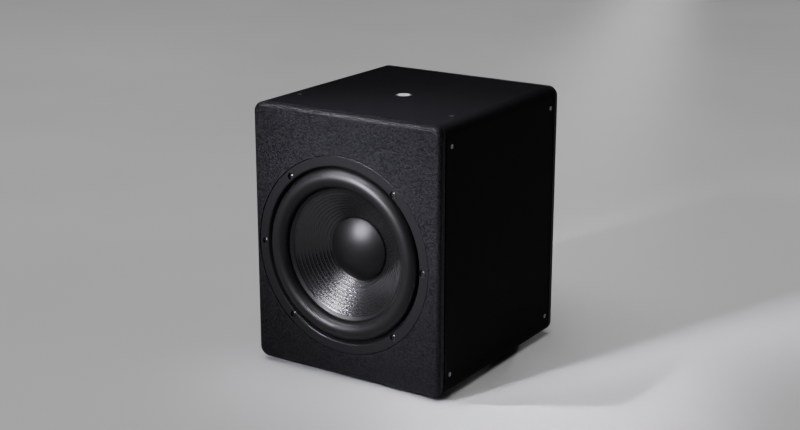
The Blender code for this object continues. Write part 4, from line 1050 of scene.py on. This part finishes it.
def leads():
    """The two flexible leads between the terminal strip and the back of the cone."""
    depth = (CUP_REAR_FRONT + CUP_REAR_BACK) / 2
    start = Vector((LEAD_START, 0.0, depth - LEAD_RISE))
    end = Vector((LEAD_CONE_END, 0.0, cone_depth(LEAD_CONE_END) + CONE_THICKNESS + LEAD_CLEARANCE))
    pull, steps, sides, step = LEAD_PULL, 48, 12, 0.01
    control = (start, start + Vector((0.0, 0.0, -pull)), end + Vector((pull, 0.0, pull)), end)
    for name, offset in (("lead_positive", LEAD_OFFSET), ("lead_negative", -LEAD_OFFSET)):
        loops = []
        for i in range(steps + 1):
            at, ahead = bend(control, i / steps), bend(control, i / steps + step)
            along = (ahead - at).normalized()
            side = Vector((along.z, 0.0, -along.x))
            loop = []
            for t in turns(sides):
                across, rise = at + side * (LEAD_RADIUS * math.cos(t)), LEAD_RADIUS * math.sin(t)
                loop.append((DRIVER.x - across.x, FRONT_Y + across.z, DRIVER.z + offset + rise))
            loops.append(loop)
        obj = solid(loft(loops, caps=True))
        flexing(obj, f"{name}_braid", "copper", [name],
                lambda r: progress(r, LEAD_START, LEAD_CONE_END))


def driver():
    piece(basket(), "cast_frame", "cabinet", "cast", ["basket"])
    driver_bolts()
    surround()
    cone()
    dust_cap()
    spider()
    leads()


# ---------------------------------------------------------------- amplifier


def rear_slab(x, z, size, near, far, edge=EDGE):
    """A plate-like piece of one width, height and corner radius on the rear, between two rear depths."""
    return solid(slab(*size, rear_y(near), rear_y(far), edge), Matrix.Translation((x, 0.0, z)))


def rear_rod(x, z, radius, near, far, steps=SMALL_STEPS):
    bm = loft([circle(radius, rear_y(near), steps), circle(radius, rear_y(far), steps)], caps=True)
    return solid(bm, Matrix.Translation((x, 0.0, z)))


def plate_screw_places():
    for x in (-PLATE_SCREW_X, PLATE_SCREW_X):
        for z in PLATE_SCREW_ROWS:
            yield x, MIDDLE_Z + z
    for z in (-PLATE_SCREW_Z, PLATE_SCREW_Z):
        yield 0.0, MIDDLE_Z + z


def amp_plate():
    """The plate with its posts, and the openings for all that passes through it."""
    obj = rear_slab(0.0, MIDDLE_Z, PLATE_SIZE, PLATE_FACE, PLATE_INNER, SOFT)
    combine(obj, [rear_rod(x, z, POST_RADIUS, PLATE_INNER - OVERLAP, POST_END) for x, z in POSTS], "UNION")
    depths = -PROUD, 2 * PLATE_INNER
    cuts = [rear_rod(x, CONTROL_Z, SHAFT_RADIUS + 2 * GAP, *depths) for x in (LEVEL_X, CROSSOVER_X)]
    for x in (XLR_INPUT_X, XLR_OUTPUT_X):
        cuts.append(rear_rod(x, XLR_Z, XLR_SHELL_RADIUS + GAP, *depths, MEDIUM_STEPS))
    cuts += [rear_rod(x, z, PLATE_SCREW_HOLE, *depths, HOLE_STEPS) for x, z in plate_screw_places()]
    cuts.append(rear_slab(INLET_X, MAINS_Z, INLET_HOLE, *depths, HAIR))
    cuts.append(rear_slab(SWITCH_X, MAINS_Z, SWITCH_HOLE, *depths, HAIR))
    cuts.append(rear_slab(PHASE_X + PHASE_TRAVEL / 2, CONTROL_Z, PHASE_SLOT, *depths, HAIR))
    combine(obj, cuts)
    piece(obj, "amplifier_plate", "cabinet", "plate", ["amp_plate"])


def pan_screw(name, x, z, face, radius, height, length, socket):
    """A small domed screw on the rear, its head standing out from a face at a rear depth."""
    shank, crown = radius * 0.45, radius * 0.55
    side, fillet, floor = height * 0.35, height * 0.3, height * 0.2
    profile = soften([
        (0.0, -height), (crown, -height, fillet), (radius, -side, fillet), (radius, 0.0), (shank, 0.0),
        (shank, length), (0.0, length)
    ], steps=4)
    at = facing(BACKWARD, (x, rear_y(face), z))
    obj = solid(lathe(profile, PAN_STEPS), at)
    hexagon_cut(obj, at, socket, -2 * height, -floor)
    piece(obj, name, "cabinet", "screw")


def heat_sink():
    """A finned extrusion on the plate: upright fins with rounded tips on a common base."""
    base, pitch, fin, root, crown = 0.003, SINK_WIDTH / FIN_COUNT, 0.002, 0.0006, 0.0009
    foot = PLATE_FACE - GAP
    tip = foot + PROUD
    points = [(-SINK_WIDTH / 2, 0.0), (SINK_WIDTH / 2, 0.0)]
    for i in reversed(range(FIN_COUNT)):
        middle = -SINK_WIDTH / 2 + pitch * (i + 0.5)
        right, left = middle + fin / 2, middle - fin / 2
        points += [(middle + pitch / 2, base), (right, base, root), (right, tip, crown),
                   (left, tip, crown), (left, base, root)]
    points.append((-SINK_WIDTH / 2, base))
    comb = soften(points, closed=True, steps=4)
    ends = (SINK_Z - SINK_HEIGHT / 2, SINK_Z + SINK_HEIGHT / 2)
    loops = [[(x, rear_y(foot) + y, z) for x, y in comb] for z in ends]
    piece(solid(loft(loops, caps=True)), "finned_sink", "cabinet", "anodised", ["heat_sink"])


def knob(name, x, body):
    """A fluted control knob with a skirt, and the white line that points at its scale."""
    flutes, flute_depth, steps = 16, 0.0007, 192
    face, skirt, end = -PROUD, PLATE_FACE - KNOB_CLEARANCE, PLATE_INNER + SHAFT_REACH
    rows = [(KNOB_RADIUS * share, face + depth, fluted) for share, depth, fluted in KNOB_FACE]
    rows += [(KNOB_RADIUS * share, skirt + depth, fluted) for share, depth, fluted in KNOB_SKIRT]
    rows += [(SHAFT_RADIUS, skirt, 0.0), (SHAFT_RADIUS, end, 0.0), (0.0, end, 0.0)]
    loops = []
    for radius, depth, fluted in rows:
        if radius < TINY:
            loops.append([(0.0, depth, 0.0)])
            continue
        loop = []
        for t in turns(steps):
            dip = flute_depth * fluted * (0.5 - 0.5 * math.cos(flutes * t)) ** 2
            loop.append(((radius - dip) * math.cos(t), depth, (radius - dip) * math.sin(t)))
        loops.append(loop)
    at = facing(BACKWARD, (x, REAR_Y, CONTROL_Z))
    piece(solid(loft(loops), at), f"{name}_knob_grip", body, "plastic", [f"{name}_knob"])
    middle, sunk, bottom = CONTROL_Z + KNOB_RADIUS * 0.50, 0.00005, 0.0009
    line = rear_slab(x, middle, POINTER, face + sunk, face + bottom, HAIR)
    piece(line, f"{name}_pointer", body, "print")


def rear_text(words, x, z):
    """Raised print on the plate that reads the right way from behind."""
    curve = bpy.data.curves.new("print", "FONT")
    curve.body = words
    curve.size = NUMBER_SIZE
    curve.extrude = INK
    curve.align_x = "CENTER"
    curve.align_y = "CENTER"
    curve.resolution_u = 4
    obj = link("print", curve)
    graph = bpy.context.evaluated_depsgraph_get()
    mesh = bpy.data.meshes.new_from_object(obj.evaluated_get(graph))
    bpy.data.objects.remove(obj, do_unlink=True)
    mesh.transform(Matrix(((-1, 0, 0, x), (0, 0, 1, rear_y(PLATE_FACE) + INK), (0, 1, 0, z), (0, 0, 0, 1))))
    return link("print", mesh)


def join(objects):
    """One object from several, without a Boolean, for print that lies on one surface."""
    bm = bmesh.new()
    for obj in objects:
        bm.from_mesh(obj.data)
        bpy.data.objects.remove(obj, do_unlink=True)
    mesh = bpy.data.meshes.new("joined")
    bm.to_mesh(mesh)
    bm.free()
    return link("joined", mesh)


def dial(name, x, numbers):
    """Scale marks round a knob over its travel, with a number at some of them."""
    face, reach, made = rear_y(PLATE_FACE), NUMBER_DISTANCE, []
    for i in range(MARK_COUNT):
        turn = math.radians(-KNOB_SWEEP + 2 * KNOB_SWEEP * i / (MARK_COUNT - 1))
        mark = slab(*SCALE_MARK, face + 2 * INK, face, INK_EDGE)
        spin = Matrix.Rotation(-turn, 4, "Y")
        place = Matrix.Translation((x, 0.0, CONTROL_Z)) @ spin @ Matrix.Translation((0.0, 0.0, MARK_DISTANCE))
        made.append(solid(mark, place))
        if i in numbers:
            made.append(rear_text(numbers[i], x - reach * math.sin(turn), CONTROL_Z + reach * math.cos(turn)))
    piece(join(made), f"{name}_scale", "cabinet", "print")


def phase_slider():
    """The phase switch's grooved button, and the print above its two places."""
    near, far = PLATE_FACE - 0.003, PLATE_INNER + 0.002
    pitch, groove, edge = 0.0010, 0.0004, 0.00005
    obj = rear_slab(PHASE_X, CONTROL_Z, PHASE_BUTTON, near, far, FINE)
    combine(obj, [rear_slab(PHASE_X + shift, CONTROL_Z, PHASE_GROOVE, near - OVERLAP, near + groove, edge)
                  for shift in (-pitch, 0.0, pitch)])
    piece(obj, "phase_slider_button", "phase_switch", "plastic", ["phase_slider"])
    row, apart = CONTROL_Z + 0.0052, 0.0075
    marks = [rear_text("0", PHASE_X, row), rear_text("180", PHASE_X + apart, row)]
    piece(join(marks), "phase_marks", "cabinet", "print")


def flanged(x, z, flange, proud, edge, body):
    """A flange that stands proud of the plate, joined to the body behind it."""
    seat = PLATE_FACE - GAP
    return combine(rear_slab(x, z, flange, seat - proud, seat, edge), [body], "UNION")


def power_switch():
    """The switch's housing, with the well that its rocker sits in."""
    back, floor = 0.0250, 0.0165
    body = rear_slab(SWITCH_X, MAINS_Z, SWITCH_BODY, PLATE_FACE - OVERLAP, back, FINE)
    obj = flanged(SWITCH_X, MAINS_Z, SWITCH_FLANGE, SWITCH_PROUD, WIDE, body)
    combine(obj, [rear_slab(SWITCH_X, MAINS_Z, SWITCH_WELL, -PROUD, floor, HAIR)])
    piece(obj, "switch_housing", "cabinet", "plastic", ["power_switch"])


def power_rocker():
    """The rocker in its off position, with a bar on one wing and a ring on the other."""
    half, steps = ROCKER_HALF, 16
    wing = half * math.tan(math.radians(ROCKER_TILT))

    def crest(z):
        return wing * (abs(z) / half) ** ROCKER_CURVE

    shoulder, belly, bottom = 0.0015, ROCKER_MARK_Z, 0.0055
    points = [(-half, -shoulder), (-belly, -bottom), (belly, -bottom), (half, -shoulder)]
    for i in range(steps + 1):
        z = half - 2 * half * i / steps
        points.append((z, crest(z)))
    side, loops = ROCKER_WIDTH / 2, []
    for x, inset in ((-side, EDGE), (-side + EDGE, 0.0), (side - EDGE, 0.0), (side, EDGE)):
        shrink, lift = 1.0 - inset / half, inset * 0.3
        loops.append([(x, y * shrink + ROCKER_PIVOT - lift, z * shrink) for z, y in points])
    stand = Matrix.Rotation(math.radians(-ROCKER_TILT), 4, "X")
    hinge = PLATE_FACE - SWITCH_PROUD + ROCKER_PIVOT
    place = Matrix.Translation((SWITCH_X, rear_y(hinge), MAINS_Z)) @ stand
    obj = solid(loft(loops, caps=True), place)
    piece(obj, "rocker", "power_rocker", "plastic", ["power_rocker"], sharp=25.0)
    lean = math.atan2(wing, half) * 0.98
    low, high, inner, outer, ring_steps = -0.00012, 2 * INK, 0.0009, 0.0013, 40
    bar = slab(*ROCKER_BAR, low, high, INK_EDGE)
    ring = lathe([(inner, low), (outer, low), (outer, high), (inner, high)], ring_steps, True)
    for name, z, bm in (("on_mark", ROCKER_MARK_Z, bar), ("off_mark", -ROCKER_MARK_Z, ring)):
        tilt = Matrix.Rotation(math.copysign(lean, z), 4, "X")
        mark = solid(bm, place @ Matrix.Translation((0.0, crest(z) + ROCKER_PIVOT, z)) @ tilt)
        piece(mark, f"rocker_{name}", "power_rocker", "print")


def mains_inlet():
    """The appliance inlet: flange, socket with two cut corners, and its three blades."""
    back, floor, blade_tip, blade_root = 0.0310, 0.0250, 0.0110, 0.0260
    body = rear_slab(INLET_X, MAINS_Z, INLET_BODY, PLATE_FACE - OVERLAP, back)
    obj = flanged(INLET_X, MAINS_Z, INLET_FLANGE, FLANGE_PROUD, SOFT, body)
    wide, high, cut, corner, chamfer = 0.0236 / 2, 0.0160 / 2, 0.0042, 0.001, 0.0006
    corners = [(-wide, -high, corner), (wide, -high, corner), (wide, high - cut, chamfer),
               (wide - cut, high, chamfer), (cut - wide, high, chamfer), (-wide, high - cut, chamfer)]
    well = prism(soften(corners, closed=True, steps=4), rear_y(-PROUD), rear_y(floor))
    combine(obj, [solid(well, Matrix.Translation((INLET_X, 0.0, MAINS_Z)))])
    piece(obj, "inlet_housing", "cabinet", "plastic", ["mains_inlet"])
    for i, (x, z) in enumerate(((-0.007, -0.002), (0.0, 0.002), (0.007, -0.002))):
        blade = rear_slab(INLET_X + x, MAINS_Z + z, INLET_BLADE, blade_tip, blade_root, SOFT)
        piece(blade, f"inlet_blade_{i + 1}", "cabinet", "contact")


def xlr_base(x):
    """A panel connector's flange with its round shell behind it."""
    body = rear_rod(x, XLR_Z, XLR_SHELL_RADIUS, PLATE_FACE - OVERLAP, XLR_BACK, MEDIUM_STEPS)
    return flanged(x, XLR_Z, XLR_FLANGE, FLANGE_PROUD, WIDE, body)


def contact_places(x):
    for angle in (30.0, 150.0, 270.0):
        turn = math.radians(angle)
        yield x + CONTACT_CIRCLE * math.cos(turn), XLR_Z + CONTACT_CIRCLE * math.sin(turn)


def xlr_input():
    """The input socket: an insert with three holes inside a ring-shaped gap, and its latch tab."""
    x = XLR_INPUT_X
    obj = xlr_base(x)
    inner, outer, low, high = 0.0079, 0.0096, -0.02, 0.013
    gap = lathe([(inner, low), (outer, low), (outer, high), (inner, high)], MEDIUM_STEPS, closed=True)
    cuts = [solid(gap, facing(BACKWARD, (x, REAR_Y, XLR_Z)))]
    hole, hole_floor = 0.0013, 0.016
    cuts += [rear_rod(hole_x, z, hole, -PROUD, hole_floor, HOLE_STEPS) for hole_x, z in contact_places(x)]
    latch_z, latch_floor, tab_z, tab_top, tab_bottom = 0.0116, 0.0072, 0.0117, 0.0028, 0.0068
    cuts.append(rear_slab(x, XLR_Z + latch_z, LATCH_OPENING, -PROUD, latch_floor, HAIR))
    combine(obj, cuts)
    piece(obj, "input_socket", "cabinet", "anodised", ["xlr_input"])
    tab = rear_slab(x, XLR_Z + tab_z, LATCH_TAB, PLATE_FACE - tab_top, tab_bottom)
    piece(tab, "input_latch", "cabinet", "zinc")


def xlr_output():
    """The output plug: three pins in a round well with a key at its edge."""
    x, floor, well, key_drop, key_top = XLR_OUTPUT_X, 0.0200, 0.0092, 0.0090, 0.0085
    obj = xlr_base(x)
    combine(obj, [rear_rod(x, XLR_Z, well, -PROUD, floor, MEDIUM_STEPS)])
    combine(obj, [rear_slab(x, XLR_Z - key_drop, XLR_KEY, key_top, floor + OVERLAP, FINE)], "UNION")
    piece(obj, "output_socket", "cabinet", "anodised", ["xlr_output"])
    pin, tip, tip_edge, root = 0.0012, -0.012, 0.0008, 0.001
    profile = soften([(0.0, tip), (pin, tip, tip_edge), (pin, root), (0.0, root)], steps=5)
    for i, (pin_x, z) in enumerate(contact_places(x)):
        pin = solid(lathe(profile, HOLE_STEPS), facing(BACKWARD, (pin_x, rear_y(floor), z)))
        piece(pin, f"output_pin_{i + 1}", "cabinet", "contact")


def amplifier():
    amp_plate()
    for i, (x, z) in enumerate(plate_screw_places()):
        pan_screw(f"plate_screw_{i + 1}", x, z, PLATE_FACE, *PLATE_SCREW)
    for label, x in (("input", XLR_INPUT_X), ("output", XLR_OUTPUT_X)):
        for i, sign in enumerate((-1.0, 1.0)):
            place = (x + sign * XLR_SCREW_X, XLR_Z + sign * XLR_SCREW_Z)
            pan_screw(f"{label}_screw_{i + 1}", *place, PLATE_FACE - GAP - FLANGE_PROUD, *XLR_SCREW)
    heat_sink()
    knob("level", LEVEL_X, "level_control")
    knob("crossover", CROSSOVER_X, "crossover_control")
    dial("level", LEVEL_X, {0: "0", 5: "5", 10: "10"})
    dial("crossover", CROSSOVER_X, {0: "40", 5: "80", 10: "120"})
    phase_slider()
    power_switch()
    power_rocker()
    mains_inlet()
    xlr_input()
    xlr_output()


# ---------------------------------------------------------------- pieces kept from the frame


KEPT = {
    "top_board": "board", "bottom_board": "board", "side_board_left": "board", "side_board_right": "board",
    "damping_wadding": "wadding", "basket_gasket": "foot", "coil_former": "kapton",
    "coil_winding": "copper", "top_plate": "zinc", "magnet": "ferrite", "yoke": "zinc",
    "magnet_cover": "foot", "terminal_strip": "plastic", "amp_cover": "zinc", "amp_board": "circuit",
    "reservoir_capacitor": "plastic", "transformer": "tape", "level_pot": "zinc", "crossover_pot": "zinc",
}


def dress_kept_nodes():
    for name, finish in KEPT.items():
        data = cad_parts[name].data
        data.materials.clear()
        data.materials.append(FINISHES[finish])


# ---------------------------------------------------------------- stage


def stage_floor():
    """A wide pale floor, a very little uneven in tone."""
    reach = 15.0
    bm = bmesh.new()
    bmesh.ops.create_grid(bm, x_segments=8, y_segments=8, size=reach)
    floor = solid(bm)
    floor.name = "floor"
    material, tree = principled("floor", Specular_IOR_Level=0.2)
    shader = tree.nodes["Principled BSDF"]
    slow = noise(tree, place_vector(tree), 0.8, 3.0)
    shade = tone(tree, spread(tree, slow, 0.0, 1.0), (0.45, 0.45, 0.455), (0.49, 0.49, 0.495))
    tree.links.new(shade, shader.inputs["Base Color"])
    tree.links.new(spread(tree, slow, 0.75, 0.85), shader.inputs["Roughness"])
    floor.data.materials.append(material)


def softbox(name, azimuth, elevation, distance, size, power, grid=180.0, aim=(0.0, 0.0, MIDDLE_Z),
            colour=(1.0, 1.0, 1.0)):
    """A square soft light at its angles and distance from its aim; a grid narrows its spread, in degrees."""
    light = bpy.data.lights.new(name, "AREA")
    light.shape = "SQUARE"
    light.size = size
    light.energy = power
    light.color = colour
    light.spread = math.radians(grid)
    a, e = math.radians(azimuth), math.radians(elevation)
    away = Vector((math.sin(a) * math.cos(e), -math.cos(a) * math.cos(e), math.sin(e)))
    obj = link(name, light)
    obj.location = Vector(aim) + away * distance
    obj.rotation_euler = away.to_track_quat("Z", "Y").to_euler()
    obj.visible_camera = False


def lights():
    """Four soft lights over a dim, slightly cool sky."""
    cool, sky, sky_strength = (0.96, 0.95, 1.06), (0.9, 0.95, 1.0, 1.0), 0.03
    softbox("key", -20.0, 25.0, 1.5, 0.30, 2.0, 18.0, (0.03, FRONT_Y, 0.245), cool)
    softbox("window", -58.0, 56.0, 2.4, 0.30, 0.5, 5.0, (0.05, FRONT_Y - 0.04, TOP_Z), cool)
    softbox("overhead", -10.0, 80.0, 9.0, 7.0, 900.0)
    softbox("rear", -160.0, 0.3, 6.0, 0.24, 1.5, 8.0, (0.0, REAR_Y, MIDDLE_Z))
    world = bpy.data.worlds.new("studio")
    world.use_nodes = True
    background = world.node_tree.nodes["Background"]
    background.inputs["Color"].default_value = sky
    background.inputs["Strength"].default_value = sky_strength
    bpy.context.scene.world = world


def camera():
    data = bpy.data.cameras.new("camera")
    data.lens = CAMERA_LENS
    data.sensor_width = SENSOR_WIDTH
    obj = link("camera", data)
    obj.location = CAMERA_PLACE
    obj.rotation_euler = (math.radians(90.0 - CAMERA_PITCH), 0.0, math.radians(CAMERA_AZIMUTH))
    bpy.context.scene.camera = obj


FINISHES = make_finishes()
camera()
cabinet()
driver()
amplifier()
dress_kept_nodes()
stage_floor()
lights()
